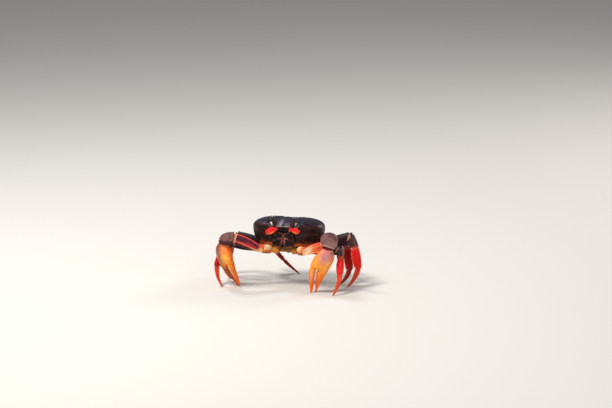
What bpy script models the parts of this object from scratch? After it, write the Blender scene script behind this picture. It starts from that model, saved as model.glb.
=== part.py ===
# A purple land crab at life size, standing on the tips of its legs and claws.
# Lengths are in millimetres until a mesh is made. +Z is up, the crab faces -Y and its left is +X.
# Places are measured from the floor under the middle of the shell; at the end the whole
# crab is moved so that the origin is on the floor under the middle of its bounding box.

import math
import random

import bmesh
import bpy
from mathutils import Matrix, Vector

MM = 0.001
GAP = 0.3
BACK = Vector((0, 1, 0))
UP = Vector((0, 0, 1))
SEED = 5

# The shell: a swollen oval, widest ahead of its middle, with a front that bends down.
SHELL_HALF_WIDTH = 40.5
SHELL_MIDDLE_Y = -5.0
SHELL_FRONT_REACH = 25.5
SHELL_REAR_REACH = 34.0
SHELL_TOP = 74.4
SHELL_BASE = 44.6
BASE_SHARE_SIDE = 0.68
BASE_SHARE_FRONT = 0.56
BASE_SHARE_REAR = 0.78
RIM_SIDE = 64.0
RIM_FRONT = 66.0
RIM_REAR = 50.0
PLAN_POWER_FRONT = 2.4
PLAN_POWER_REAR = 2.2
DOME_POWER_SIDE = 2.8
DOME_POWER_FRONT = 3.5
DOME_POWER_REAR = 2.0
BASE_LATITUDE = math.radians(60)
SHELL_COLUMNS = 44
SHELL_ROWS = 22

# The face, on the front of the shell.
ORBIT_CENTRE = Vector((12.6, -29.6, 73.8))
ORBIT_SIZE = Vector((5.8, 5.2, 5.2))
STALK_ROOT = Vector((10.0, -28.6, 68.6))
STALK_END = Vector((12.0, -28.6, 76.6))
EYE_TOP = Vector((12.6, -28.6, 81.0))
ANTENNA_ROOT = Vector((6.9, -28.6, 66.2))
ANTENNA_END = Vector((8.4, -33.6, 64.6))
STALK_RADIUS = 2.2
SOCKET_DEPTH = 3.0
EYE_RADIUS = 2.2
MOUTH_CENTRE = Vector((0.0, -28.0, 54.2))
MOUTH_HALF_WIDTH = 13.4
MOUTH_HALF_HEIGHT = 9.6
MOUTH_LEAN = math.radians(-9)
MAXILLIPED_HALF_WIDTH = 5.8
MAXILLIPED_HALF_HEIGHT = 8.8
MAXILLIPED_THICK = 3.4
MAXILLIPED_CENTRE = 6.7
MAXILLIPED_SPREAD = math.radians(8)

# The underside.
STERNUM_TOP = SHELL_BASE - GAP
STERNUM_BOTTOM = 37.6
STERNUM_FRONT = -21.5
STERNUM_REAR = 24.0
STERNUM_HALF_WIDTH = 20.5
ABDOMEN_THICK = 2.2
HIP_HEIGHT = 39.8
HIP_RADIUS = 3.4
CLAW_HIP_RADIUS = 3.6

# The joints of the legs as they stand, hip first and foot last, counted 2 to 5 behind the claws.
LEGS = {
    "l2": ((27.5, -13.0, 39.5), (63.4, -22.6, 43.9), (66.6, -31.8, 36.6),
           (68.8, -43.6, 21.2), (63.7, -54.7, 0)),
    "l3": ((30.5, -3.0, 38.8), (71.5, -5.5, 55.2), (77.1, -8.0, 44.9),
           (80.9, -9.0, 21.7), (69.1, -10.6, 0)),
    "l4": ((27.5, 7.5, 39.5), (60.5, 18.0, 50.0), (64.6, 8.0, 39.8),
           (67.5, 4.0, 16.0), (57.0, 0.0, 0)),
    "l5": ((20.0, 18.5, 39.5), (44.0, 31.0, 46.0), (54.0, 36.0, 38.0),
           (59.5, 39.0, 20.0), (55.2, 41.4, 0)),
    "r2": ((-27.5, -13.0, 39.5), (-61.5, -21.0, 45.0), (-68.5, -29.0, 41.8),
           (-75.2, -37.0, 21.1), (-66.1, -45.7, 0)),
    "r3": ((-30.5, -3.0, 38.8), (-61.2, -8.1, 48.8), (-71.6, -8.8, 41.0),
           (-74.5, -10.7, 20.5), (-67.8, -5.2, 0)),
    "r4": ((-27.5, 7.5, 39.5), (-63.8, 13.4, 45.7), (-73.4, 13.6, 37.8),
           (-76.6, 14.0, 20.0), (-71.4, 21.5, 0)),
    "r5": ((-20.0, 18.5, 39.5), (-38.0, 35.5, 43.5), (-33.3, 39.0, 31.0),
           (-17.4, 38.0, 14.8), (0.4, 38.9, 0)),
}
LEG_GIRTH = {"2": 0.98, "3": 1.12, "4": 1.06, "5": 0.8}
LEG_SIDES = 12
TOE_BOW = 1.8
LEAN_REACH = 15.0
TOE_SPINE_ROWS = (40, 140, 220, 320)
TOE_SPINES = 4
SHANK_SPINE_ROWS = (150, 210)
SHANK_SPINES = 2
ARM_SPINE_ROWS = (42, 138)
ARM_SPINES = 6
SPINE_SUNK = 1.2
SPINE_TIP = 0.25

# The claws. Each hangs from its wrist, with the movable finger on the inner side.
CLAWS = {
    "l": {
        "hip": Vector((15.5, -22.5, 41.0)),
        "merus_root": Vector((23.5, -29.6, 42.8)),
        "elbow": Vector((49.8, -33.4, 51.3)),
        "elbow_way": Vector((0.8, -0.33, 0.5)).normalized(),
        "carpus": Vector((55.2, -38.6, 57.8)),
        "carpus_half": Vector((9.5, 8.6, 9.5)),
        "carpus_way": Vector((0.966, 0.259, 0)),
        "wrist": Vector((53.8, -42.0, 50.2)),
        "wrist_way": Vector((-0.2, -0.35, -0.92)).normalized(),
        "arch": Vector((0, -2.5, 0)),
        "finger_tips": (Vector((36.2, -45.8, 0)), Vector((40.7, -40.7, 0))),
        "inward": Vector((-0.966, -0.259, 0)),
        "arm": (4.2, 5.4, 5.0),
    },
    "r": {
        "hip": Vector((-15.5, -22.5, 41.0)),
        "merus_root": Vector((-24.0, -29.8, 42.8)),
        "elbow": Vector((-54.7, -44.2, 56.7)),
        "elbow_way": Vector((-0.9, -0.37, 0.22)).normalized(),
        "carpus": Vector((-54.4, -45.6, 51.6)),
        "carpus_half": Vector((15.4, 8.2, 11.8)),
        "carpus_way": Vector((-0.965, -0.261, 0)),
        "wrist": Vector((-63.2, -48.0, 51.0)),
        "wrist_way": Vector((-0.12, -0.04, -0.99)).normalized(),
        "arch": Vector((-5.2, -1.4, 0)),
        "finger_tips": (Vector((-49.3, -35.4, 0)), Vector((-53.2, -31.8, 0))),
        "inward": Vector((0.866, -0.5, 0)),
        "arm": (4.4, 6.3, 5.6),
    },
}
CARPUS_POWER = 2.4
TEETH = 5
TOOTH_LENGTH = 0.75
TOOTH_RADIUS = 0.7
PALM_SIDES = 18
FINGER_SPLIT = 24.5
CLAW_SIDES = 14

COLOURS = {
    "shell": (0.022, 0.018, 0.026, 0.32),
    "sternum": (0.35, 0.16, 0.04, 0.5),
    "abdomen": (0.45, 0.22, 0.07, 0.5),
    "mouth": (0.012, 0.008, 0.012, 0.4),
    "eye": (0.01, 0.01, 0.012, 0.15),
    "stalk": (0.05, 0.03, 0.03, 0.4),
    "cream": (0.85, 0.60, 0.32, 0.5),
    "merus": (0.05, 0.01, 0.03, 0.4),
    "carpus": (0.14, 0.08, 0.085, 0.4),
    "claw": (0.86, 0.24, 0.03, 0.38),
    "leg": (0.07, 0.035, 0.045, 0.42),
    "leg_red": (0.62, 0.02, 0.02, 0.42),
    "toe": (0.72, 0.08, 0.03, 0.45),
}


def mix(a, b, share):
    return a + (b - a) * share


def superellipse(angle, half_u, half_v, power):
    """A point of a rounded section: power 2 is an ellipse and more is boxier."""
    c, s = math.cos(angle), math.sin(angle)
    u = math.copysign(abs(c) ** (2 / power), c) * half_u
    v = math.copysign(abs(s) ** (2 / power), s) * half_v
    return u, v


def new_object(name, bm):
    """Turns a closed bmesh in millimetres into an object in metres."""
    bmesh.ops.recalc_face_normals(bm, faces=bm.faces)
    bmesh.ops.scale(bm, vec=(MM, MM, MM), verts=bm.verts)
    mesh = bpy.data.meshes.new(name)
    bm.to_mesh(mesh)
    bm.free()
    return bpy.data.objects.new(name, mesh)


def add_part(obj, colour):
    """Gives a finished node its own material and puts it in the crab's collection."""
    red, green, blue, roughness = COLOURS[colour]
    material = bpy.data.materials.new(obj.name + "_finish")
    material.use_nodes = True
    shader = material.node_tree.nodes["Principled BSDF"]
    shader.inputs["Base Color"].default_value = (red, green, blue, 1)
    shader.inputs["Roughness"].default_value = roughness
    shader.inputs["Metallic"].default_value = 0.0
    obj.data.materials.clear()
    obj.data.materials.append(material)
    obj.data.shade_smooth()
    obj.data.set_sharp_from_angle(angle=math.radians(50))
    crab.objects.link(obj)
    return obj


def loft(name, rings):
    """A closed body through rings of equal count, with a flat cap at each end."""
    bm = bmesh.new()
    rows = [[bm.verts.new(point) for point in ring] for ring in rings]
    for lower, upper in zip(rows, rows[1:]):
        for i in range(len(lower)):
            j = (i + 1) % len(lower)
            bm.faces.new((lower[i], lower[j], upper[j], upper[i]))
    bm.faces.new(rows[0])
    bm.faces.new(rows[-1])
    return new_object(name, bm)


def leaning_ring(centre, along, wide, thin, normal, half_wide, half_thin, sides, power):
    """A ring round a limb, sheared along the limb into the plane with this normal."""
    ring = []
    for i in range(sides):
        u, v = superellipse(2 * math.pi * i / sides, half_wide, half_thin, power)
        point = centre + wide * u + thin * v
        ring.append(point + along * ((centre - point).dot(normal) / along.dot(normal)))
    return ring


class Limb:
    """One limb segment: a path from start to end, with size(t) as its half height and half thickness."""

    def __init__(self, start, end, start_normal, end_normal, thin_hint, size, power=2.3, bow=0.0):
        self.start = start
        self.chord = end - start
        self.along = self.chord.normalized()
        self.thin = (thin_hint - self.along * thin_hint.dot(self.along)).normalized()
        self.wide = self.along.cross(self.thin).normalized()
        self.start_normal = start_normal
        self.end_normal = end_normal
        self.size = size
        self.power = power
        self.bow = bow

    def centre(self, t):
        return self.start + self.chord * t + self.wide * (self.bow * math.sin(math.pi * t))

    def ring(self, t, sides):
        length = self.chord.length
        reach = min(0.9 * length, LEAN_REACH)
        near_start = max(0.0, 1 - t * length / reach)
        near_end = max(0.0, 1 - (1 - t) * length / reach)
        normal = self.along + (self.start_normal - self.along) * near_start
        normal = (normal + (self.end_normal - self.along) * near_end).normalized()
        half_wide, half_thin = self.size(t)
        return leaning_ring(self.centre(t), self.along, self.wide, self.thin, normal, half_wide, half_thin,
                            sides, self.power)

    def rings(self, count, sides):
        return [self.ring(i / (count - 1), sides) for i in range(count)]

    def surface(self, t, angle):
        """A point on the segment's skin and the way out of it there."""
        half_wide, half_thin = self.size(t)
        u, v = superellipse(angle, half_wide, half_thin, self.power)
        out = (self.wide * (u / half_wide ** 2) + self.thin * (v / half_thin ** 2)).normalized()
        return self.centre(t) + self.wide * u + self.thin * v, out


def make_spine(root, way, length, radius, sides=4):
    """A short thorn, with its root sunk below the skin it grows from."""
    bm = bmesh.new()
    sunk = SPINE_SUNK * radius
    bmesh.ops.create_cone(bm, cap_ends=True, segments=sides, radius1=radius, radius2=radius * SPINE_TIP,
                          depth=length + sunk)
    turn = way.to_track_quat("Z", "Y").to_matrix().to_4x4()
    place = Matrix.Translation(root + way * (length - sunk) / 2) @ turn
    bmesh.ops.transform(bm, matrix=place, verts=bm.verts)
    return new_object("spine", bm)


def spines_along(limb, angles, count, first, last, length, radius, lean):
    """Rows of spines along a limb, which lean towards its tip and shrink as it narrows."""
    spines = []
    for row, angle in enumerate(angles):
        for i in range(count):
            t = mix(first, last, (i + 0.5 * (row % 2)) / count)
            root, out = limb.surface(t, angle + dice.uniform(-0.06, 0.06))
            way = (out + limb.along * lean).normalized()
            grown = dice.uniform(0.85, 1.15) * mix(1.0, 0.6, t)
            spines.append(make_spine(root, way, length * grown, radius * grown))
    return spines


def joint_normal(before, joint, after):
    """The normal of the plane that halves the bend at a joint."""
    return ((joint - before).normalized() + (after - joint).normalized()).normalized()


def swell(start, middle, end, peak=0.5):
    """A size that swells from start to middle at the peak and falls to end."""
    def size(t):
        if t < peak:
            return mix(start, middle, math.sin(0.5 * math.pi * t / peak))
        return mix(middle, end, 1 - math.cos(0.5 * math.pi * (t - peak) / (1 - peak)))
    return size


def keep_largest(obj):
    """Leaves only the largest of the closed surfaces that a mesh holds."""
    bm = bmesh.new()
    bm.from_mesh(obj.data)
    left = set(bm.faces)
    groups = []
    while left:
        queue = [left.pop()]
        group = []
        while queue:
            face = queue.pop()
            group.append(face)
            for edge in face.edges:
                for other in edge.link_faces:
                    if other in left:
                        left.remove(other)
                        queue.append(other)
        groups.append(group)
    groups.sort(key=len, reverse=True)
    spare = [face for group in groups[1:] for face in group]
    if spare:
        bmesh.ops.delete(bm, geom=spare, context="FACES")
        loose = [vert for vert in bm.verts if not vert.link_faces]
        bmesh.ops.delete(bm, geom=loose, context="VERTS")
        bm.to_mesh(obj.data)
    bm.free()


def combine(body, tools, operation, solver="EXACT"):
    """Joins the tool objects to a body, or cuts them from it, and removes them."""
    group = bpy.data.collections.new("tools")
    cutters.children.link(group)
    for tool in tools:
        tool.hide_render = True
        tool.display_type = "WIRE"
        group.objects.link(tool)
    cutters.objects.link(body)
    modifier = body.modifiers.new("Boolean", "BOOLEAN")
    modifier.operand_type = "COLLECTION"
    modifier.collection = group
    modifier.operation = operation
    modifier.solver = solver
    depsgraph = bpy.context.evaluated_depsgraph_get()
    mesh = bpy.data.meshes.new_from_object(body.evaluated_get(depsgraph))
    body.modifiers.clear()
    body.data = mesh
    cutters.objects.unlink(body)
    for tool in tools:
        bpy.data.objects.remove(tool)
    bpy.data.collections.remove(group)
    keep_largest(body)


def ellipsoid(name, centre, half, columns, rows, turn=None):
    """A ball stretched to these half sizes, turned and moved into place."""
    bm = bmesh.new()
    bmesh.ops.create_uvsphere(bm, u_segments=columns, v_segments=rows, radius=1.0)
    place = Matrix.Translation(centre) @ (turn or Matrix.Identity(4)) @ Matrix.Diagonal((*half, 1))
    bmesh.ops.transform(bm, matrix=place, verts=bm.verts)
    return new_object(name, bm)


def shell_point(turn, latitude):
    """The shell's surface at a plan angle and a latitude, with the rim at latitude 0."""
    c, s = math.cos(turn), math.sin(turn)
    front = s < 0
    reach = SHELL_FRONT_REACH if front else SHELL_REAR_REACH
    power = PLAN_POWER_FRONT if front else PLAN_POWER_REAR
    radius = ((abs(c) / SHELL_HALF_WIDTH) ** power + (abs(s) / reach) ** power) ** (-1 / power)
    rim = mix(RIM_SIDE, RIM_FRONT if front else RIM_REAR, s * s)
    if latitude >= 0:
        dome = mix(DOME_POWER_SIDE, DOME_POWER_FRONT if front else DOME_POWER_REAR, s * s)
        share = math.cos(latitude) ** (2 / dome) if latitude < math.pi / 2 else 0.0
        height = rim + (SHELL_TOP - rim) * math.sin(latitude) ** (2 / dome)
    else:
        fall = min(1.0, -latitude / BASE_LATITUDE) * math.pi / 2
        base = mix(BASE_SHARE_SIDE, BASE_SHARE_FRONT if front else BASE_SHARE_REAR, s * s)
        share = mix(base, 1.0, math.cos(fall))
        height = rim - (rim - SHELL_BASE) * math.sin(fall)
        under = max(0.0, (-latitude - BASE_LATITUDE) / (math.pi / 2 - BASE_LATITUDE))
        share *= 1 - under
    return Vector((c * radius * share, SHELL_MIDDLE_Y + s * radius * share, height))


def face_ring(shift, depth, half_width, half_height, spin, power, sides=24):
    """A ring parallel to the bottom of the mouth's hollow; negative depth is towards the front."""
    place = Matrix.Translation(MOUTH_CENTRE) @ Matrix.Rotation(MOUTH_LEAN, 4, "X")
    ring = []
    for i in range(sides):
        x, z = superellipse(2 * math.pi * i / sides, half_width, half_height, power)
        point = Matrix.Rotation(spin, 4, "Y") @ Vector((x, 0, z))
        ring.append(place @ (point + Vector((shift, depth, 0))))
    return ring


def make_socket(mirror):
    """The round socket in the orbit that an eyestalk stands in."""
    root = Vector((STALK_ROOT.x * mirror, STALK_ROOT.y, STALK_ROOT.z))
    end = Vector((STALK_END.x * mirror, STALK_END.y, STALK_END.z))
    way = (end - root).normalized()
    radius = STALK_RADIUS + GAP
    start, finish = root - way * GAP, root + way * SOCKET_DEPTH
    limb = Limb(start, finish, way, way, BACK, lambda t: (radius, radius), 2.0)
    return loft("socket", limb.rings(2, 14))


def make_shell():
    bm = bmesh.new()
    bmesh.ops.create_uvsphere(bm, u_segments=SHELL_COLUMNS, v_segments=SHELL_ROWS, radius=1.0)
    for vert in bm.verts:
        latitude = math.asin(max(-1.0, min(1.0, vert.co.z)))
        vert.co = shell_point(math.atan2(vert.co.y, vert.co.x), latitude)
    shell = new_object("carapace", bm)
    tools = []
    for side in (1, -1):
        centre = Vector((ORBIT_CENTRE.x * side, ORBIT_CENTRE.y, ORBIT_CENTRE.z))
        tools.append(ellipsoid("orbit", centre, ORBIT_SIZE, 16, 10))
        tools.append(make_socket(side))
        tools.append(loft("antenna_socket", antenna_limb(side, GAP).rings(6, 8)))
    depths = ((-8.0, 1.0), (-0.6, 1.0), (0.0, 0.95))
    hollow = [face_ring(0.0, depth, MOUTH_HALF_WIDTH * share, MOUTH_HALF_HEIGHT * share, 0.0, 3.2)
              for depth, share in depths]
    tools.append(loft("mouth", hollow))
    combine(shell, tools, "DIFFERENCE")
    add_part(shell, "shell")


def make_eye(side, mirror):
    def placed(point):
        return Vector((point.x * mirror, point.y, point.z))

    root, end, top = placed(STALK_ROOT), placed(STALK_END), placed(EYE_TOP)
    bend = joint_normal(root, end, top)
    size = swell(STALK_RADIUS * 0.95, STALK_RADIUS, STALK_RADIUS * 0.9)
    stalk = Limb(root, end, (end - root).normalized(), bend, BACK, lambda t: (size(t), size(t)), 2.0)
    add_part(loft("eyestalk_" + side, stalk.rings(5, 12)), "stalk")

    start = end + bend * GAP
    def eye_size(t):
        radius = EYE_RADIUS * math.sqrt(max(0.02, 1 - (1.15 * t - 0.15) ** 2)) * 0.98
        return radius, radius
    eye = Limb(start, top, bend, (top - end).normalized(), BACK, eye_size, 2.0)
    add_part(loft("eye_" + side, eye.rings(8, 14)), "eye")


def antenna_limb(mirror, spare):
    """The short antenna at the inner corner of the orbit; spare widens it into its socket."""
    root = Vector((ANTENNA_ROOT.x * mirror, ANTENNA_ROOT.y, ANTENNA_ROOT.z))
    end = Vector((ANTENNA_END.x * mirror, ANTENNA_END.y, ANTENNA_END.z))
    way = (end - root).normalized()
    size = swell(0.85 + spare, 0.95 + spare, 0.34 + spare, 0.3)
    return Limb(root - way * spare, end, way, way, BACK, lambda t: (size(t), size(t)), 2.0)


def make_maxilliped(side, mirror):
    """One of the two outer mouthparts, a rounded plate in the mouth's hollow."""
    shift = MAXILLIPED_CENTRE * mirror
    rings = []
    for depth, share in ((0.0, 0.92), (0.18, 1.0), (0.5, 0.98), (0.8, 0.84), (1.0, 0.5)):
        rings.append(face_ring(shift, -GAP - depth * MAXILLIPED_THICK, MAXILLIPED_HALF_WIDTH * share,
                               MAXILLIPED_HALF_HEIGHT * share, -MAXILLIPED_SPREAD * mirror, 2.5, 18))
    add_part(loft("maxilliped_" + side, rings), "mouth")


def make_sternum():
    """The plate under the body, with the ten hips fused to it."""
    rings = []
    half_length = (STERNUM_REAR - STERNUM_FRONT) / 2
    middle = (STERNUM_REAR + STERNUM_FRONT) / 2
    for height, share in ((STERNUM_TOP, 1.0), (40.2, 1.0), (38.4, 0.93), (STERNUM_BOTTOM, 0.82)):
        ring = []
        for i in range(32):
            x, y = superellipse(2 * math.pi * i / 32, STERNUM_HALF_WIDTH * share, half_length * share, 2.8)
            ring.append(Vector((x, middle + y, height)))
        rings.append(ring)
    sternum = loft("sternum", rings)
    hips = []
    for name, joints in LEGS.items():
        hip, knee = Vector(joints[0]), Vector(joints[1])
        hips.append(make_hip(hip, knee, HIP_RADIUS * LEG_GIRTH[name[1]]))
    for claw in CLAWS.values():
        hips.append(make_hip(claw["hip"], claw["merus_root"], CLAW_HIP_RADIUS))
    combine(sternum, hips, "UNION")
    add_part(sternum, "sternum")


def hip_start(hip):
    """Where a hip leaves the middle of the body."""
    return Vector((hip.x * 0.55, hip.y * 0.85, HIP_HEIGHT))


def make_hip(hip, after, radius):
    start = hip_start(hip)
    normal = joint_normal(start, hip, after)
    size = swell(radius * 1.0, radius, radius * 0.92)
    limb = Limb(start, hip - normal * GAP / 2, (hip - start).normalized(), normal, BACK,
                lambda t: (size(t), size(t)), 2.2)
    return loft("hip", limb.rings(4, 12))


def make_abdomen():
    """The tail in its segments, folded under the body from the shell's rear edge."""
    path = [Vector((0, 26.6, SHELL_BASE - GAP)), Vector((0, 26.6, 41.4)), Vector((0, 25.8, 38.6)),
            Vector((0, 22.6, 36.4)), Vector((0, 16.5, 36.0)), Vector((0, 10.0, 36.0)),
            Vector((0, 3.5, 36.0)), Vector((0, -2.8, 36.0)), Vector((0, -8.0, 36.0))]
    half_widths = (12.5, 12.7, 12.4, 11.4, 9.4, 7.6, 6.4, 5.2, 2.4)
    across = Vector((1, 0, 0))
    rings = []
    for i in range(len(path) - 1):
        along = (path[i + 1] - path[i]).normalized()
        before = (path[i] - path[i - 1]).normalized() if i else along
        for share, width in ((0.0, 0.94), (0.18, 1.0), (0.82, 1.0), (1.0, 0.94)):
            if share == 0.0 and i:
                continue
            after = (path[i + 2] - path[i + 1]).normalized() if i + 2 < len(path) else along
            normal = along
            if share == 0.0:
                normal = (before + along).normalized()
            if share == 1.0:
                normal = (along + after).normalized()
            out = across.cross(along).normalized()
            half_width = mix(half_widths[i], half_widths[i + 1], share) * width
            half_thick = ABDOMEN_THICK / 2 * (1.0 if width == 1.0 else 0.78)
            centre = mix(path[i], path[i + 1], share)
            rings.append(leaning_ring(centre, along, across, out, normal, half_width, half_thick, 16, 3.0))
    add_part(loft("abdomen", rings), "abdomen")


def make_leg(name, joints):
    hip, knee, wrist, heel, foot = (Vector(joint) for joint in joints)
    girth = LEG_GIRTH[name[1]]
    hinge = (knee - hip).cross(foot - knee).normalized()
    planes = [
        joint_normal(hip_start(hip), hip, knee),
        joint_normal(hip, knee, wrist),
        joint_normal(knee, wrist, heel),
        joint_normal(wrist, heel, foot),
        Vector((0, 0, -1)),
    ]
    outlines = {
        "merus": (swell(2.9, 5.4, 4.7, 0.62), swell(2.7, 3.3, 3.0, 0.5), 7, "leg"),
        "carpus": (swell(3.9, 4.3, 3.7, 0.5), swell(2.8, 3.3, 2.8, 0.5), 6, "leg"),
        "propodus": (swell(3.5, 4.4, 3.2, 0.45), swell(2.5, 3.0, 2.3, 0.4), 6, "leg_red"),
        "dactyl": (lambda t: mix(2.9, 0.75, t ** 0.95), lambda t: mix(2.3, 0.75, t ** 0.95), 8, "toe"),
    }
    points = [hip, knee, wrist, heel, foot]
    bows = (0.0, 0.0, 0.0, TOE_BOW)
    for i, (part, (high, thick, rings, colour)) in enumerate(outlines.items()):
        start = points[i] + planes[i] * GAP / 2
        end = points[i + 1] - planes[i + 1] * GAP / 2
        if part == "dactyl":
            end = foot
        def size(t, high=high, thick=thick):
            return high(t) * girth, thick(t) * girth
        limb = Limb(start, end, planes[i], planes[i + 1], hinge, size, 2.3, bows[i])
        node = loft("leg_" + name + "_" + part, limb.rings(rings, LEG_SIDES))
        if part == "dactyl":
            corners = [math.radians(angle) for angle in TOE_SPINE_ROWS]
            thorns = spines_along(limb, corners, TOE_SPINES, 0.06, 0.88, 1.2 * girth, 0.42 * girth, 0.7)
            combine(node, thorns, "UNION")
        if part == "propodus":
            edges = [math.radians(angle) for angle in SHANK_SPINE_ROWS]
            thorns = spines_along(limb, edges, SHANK_SPINES, 0.35, 0.98, 0.9 * girth, 0.4 * girth, 0.8)
            combine(node, thorns, "UNION")
        add_part(node, colour)


def palm_edges(s):
    """The inner and outer edge of the claw, s along it from the wrist."""
    inner = -11.5 * math.sin(0.5 * math.pi * min(1.0, (s + 7.0) / 29.0))
    if s < 10:
        outer = mix(7.2, 11.3, math.sin(0.5 * math.pi * s / 10))
    else:
        outer = 11.3 - 9.4 * ((s - 10) / 40) ** 1.25
    return inner, outer


def make_claw(side, claw):
    hip, root, carpus = claw["hip"], claw["merus_root"], claw["carpus"]
    mid_tip = (claw["finger_tips"][0] + claw["finger_tips"][1]) / 2
    elbow, wrist = claw["elbow"], claw["wrist"]
    wrist_way = claw["wrist_way"]
    claw_way = (mid_tip - wrist).normalized()
    inward = (claw["inward"] - claw_way * claw["inward"].dot(claw_way)).normalized()
    face = inward.cross(claw_way).normalized()
    if face.y > 0:
        face = -face

    hip_normal = joint_normal(hip_start(hip), hip, root)
    root_normal = joint_normal(hip, root, elbow)
    elbow_normal = claw["elbow_way"]
    bend = Vector((0, -0.25, 1.0)).normalized()
    size_wide, size_thin = swell(4.2, 5.0, 4.5), swell(3.6, 4.4, 4.0)
    ischium = Limb(hip + hip_normal * GAP / 2, root - root_normal * GAP / 2, hip_normal, root_normal, BACK,
                   lambda t: (size_wide(t), size_thin(t)), 2.4)
    add_part(loft("claw_" + side + "_ischium", ischium.rings(5, CLAW_SIDES)), "cream")

    merus_high, merus_thick = swell(*claw["arm"], 0.75), swell(3.9, 4.6, 3.9, 0.5)
    merus = Limb(root + root_normal * GAP / 2, elbow - elbow_normal * GAP / 2, root_normal, elbow_normal,
                 (elbow - root).cross(bend), lambda t: (merus_high(t), merus_thick(t)), 2.5)
    node = loft("claw_" + side + "_merus", merus.rings(9, CLAW_SIDES))
    front = 1 if merus.thin.y < 0 else -1
    edges = [front * math.radians(angle) for angle in ARM_SPINE_ROWS]
    combine(node, spines_along(merus, edges, ARM_SPINES, 0.25, 0.97, 0.7, 0.6, 0.3), "UNION")
    add_part(node, "merus")

    bm = bmesh.new()
    bmesh.ops.create_uvsphere(bm, u_segments=20, v_segments=12, radius=1.0)
    way = claw["carpus_way"]
    turn = Matrix((way, UP.cross(way), UP)).transposed().to_4x4()
    place = Matrix.Translation(carpus) @ turn @ Matrix.Diagonal((*claw["carpus_half"], 1))
    for vert in bm.verts:
        size = sum(abs(c) ** CARPUS_POWER for c in vert.co) ** (-1 / CARPUS_POWER)
        vert.co = place @ (vert.co * size)
    faces = ((elbow + elbow_normal * GAP / 2, -elbow_normal), (wrist - wrist_way * GAP / 2, wrist_way))
    for point, way in faces:
        geom = list(bm.verts) + list(bm.edges) + list(bm.faces)
        cut = bmesh.ops.bisect_plane(bm, geom=geom, plane_co=point, plane_no=way, clear_outer=True)
        edges = [item for item in cut["geom_cut"] if isinstance(item, bmesh.types.BMEdge)]
        bmesh.ops.edgeloop_fill(bm, edges=edges)
    add_part(new_object("claw_" + side + "_carpus", bm), "carpus")

    make_palm(side, claw, claw_way, wrist_way, inward, face)


def make_palm(side, claw, claw_way, wrist_way, inward, face):
    """The palm with its fixed finger, and the movable finger beside it."""
    inner_tip, outer_tip = claw["finger_tips"]
    wrist = claw["wrist"] + wrist_way * GAP / 2
    reach = ((inner_tip + outer_tip) / 2 - wrist).length

    def arch(s):
        return claw["arch"] * math.sin(math.pi * min(1.0, s / reach))

    palm_stations = [0.0, 1.5, 4.0, 8.0, 13.0, 18.0, 22.0, FINGER_SPLIT]
    rings = []
    for s in palm_stations:
        inner, outer = palm_edges(s)
        rounding = min(1.0, 0.82 + 0.18 * s / 4)
        inner, outer = inner * rounding, outer * rounding
        half_thin = mix(4.4, 6.6, math.sin(0.5 * math.pi * min(1.0, s / 13))) - max(0.0, s - 16) * 0.11
        centre = wrist + claw_way * s - inward * (inner + outer) / 2 + arch(s)
        normal = mix(wrist_way, claw_way, min(1.0, s / 13)).normalized()
        rings.append(leaning_ring(centre, claw_way, inward, face, normal, (outer - inner) / 2, half_thin,
                                  PALM_SIDES, 2.3))

    def finger(tip, start, t, inner, outer, half_wide, half_thin):
        """A station of a finger: its centre, the normal of its ring and its half sizes."""
        length = (tip - wrist).dot(claw_way)
        s = mix(start, length, t)
        on_line = wrist + claw_way * s - inward * (inner + outer) / 2 + arch(s)
        pull = t ** 3
        centre = on_line * (1 - pull) + (tip + claw_way * (s - length)) * pull
        normal = mix(claw_way, Vector((0, 0, -1)), pull).normalized()
        return centre, normal, half_wide, half_thin

    def fixed_finger(t):
        start = FINGER_SPLIT + 0.25
        outer = palm_edges(mix(start, (outer_tip - wrist).dot(claw_way), t))[1]
        inner = mix(-3.1, 0.9, t)
        half_wide = max(0.9, (outer - inner) / 2)
        return finger(outer_tip, start, t, inner, outer, half_wide, mix(5.2, 0.9, t ** 0.9))

    def moving_finger(t):
        outer = mix(-11.3, -4.4, t ** 1.9)
        inner = mix(-4.2, -2.6, t)
        return finger(inner_tip, FINGER_SPLIT + 0.25 + GAP, t, inner, outer, max(0.85, (inner - outer) / 2),
                      mix(4.8, 0.85, t ** 0.95))

    def teeth(station, way, offset):
        """A row of teeth in the gap between the fingers."""
        row = []
        for i in range(TEETH):
            t = mix(0.22, 0.86, (i + offset) / TEETH)
            centre, normal, half_wide, half_thin = station(t)
            size = dice.uniform(0.8, 1.15) * mix(1.0, 0.6, t)
            row.append(make_spine(centre + way * half_wide, way, TOOTH_LENGTH * size, TOOTH_RADIUS * size))
        return row

    for i in range(8):
        centre, normal, half_wide, half_thin = fixed_finger(i / 7)
        rings.append(leaning_ring(centre, claw_way, inward, face, normal, half_wide, half_thin,
                                  PALM_SIDES, 2.2))
    palm = loft("claw_" + side + "_palm", rings)
    combine(palm, teeth(fixed_finger, inward, 0.0), "UNION")
    add_part(palm, "claw")

    rings = []
    for i in range(10):
        centre, normal, half_wide, half_thin = moving_finger(i / 9)
        rings.append(leaning_ring(centre, claw_way, inward, face, normal, half_wide, half_thin,
                                  CLAW_SIDES, 2.2))
    dactyl = loft("claw_" + side + "_dactyl", rings)
    combine(dactyl, teeth(moving_finger, -inward, 0.5), "UNION")
    add_part(dactyl, "claw")


for old in list(bpy.data.objects):
    bpy.data.objects.remove(old)
crab = bpy.data.collections.new("land_crab")
cutters = bpy.data.collections.new("cutters")
dice = random.Random(SEED)
bpy.context.scene.collection.children.link(crab)
bpy.context.scene.collection.children.link(cutters)

make_shell()
make_sternum()
make_abdomen()
for side, mirror in (("l", 1), ("r", -1)):
    make_eye(side, mirror)
    make_maxilliped(side, mirror)
    add_part(loft("antenna_" + side, antenna_limb(mirror, 0.0).rings(6, 8)), "mouth")
    make_claw(side, CLAWS[side])
for leg_name, leg_joints in LEGS.items():
    make_leg(leg_name, leg_joints)

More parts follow.
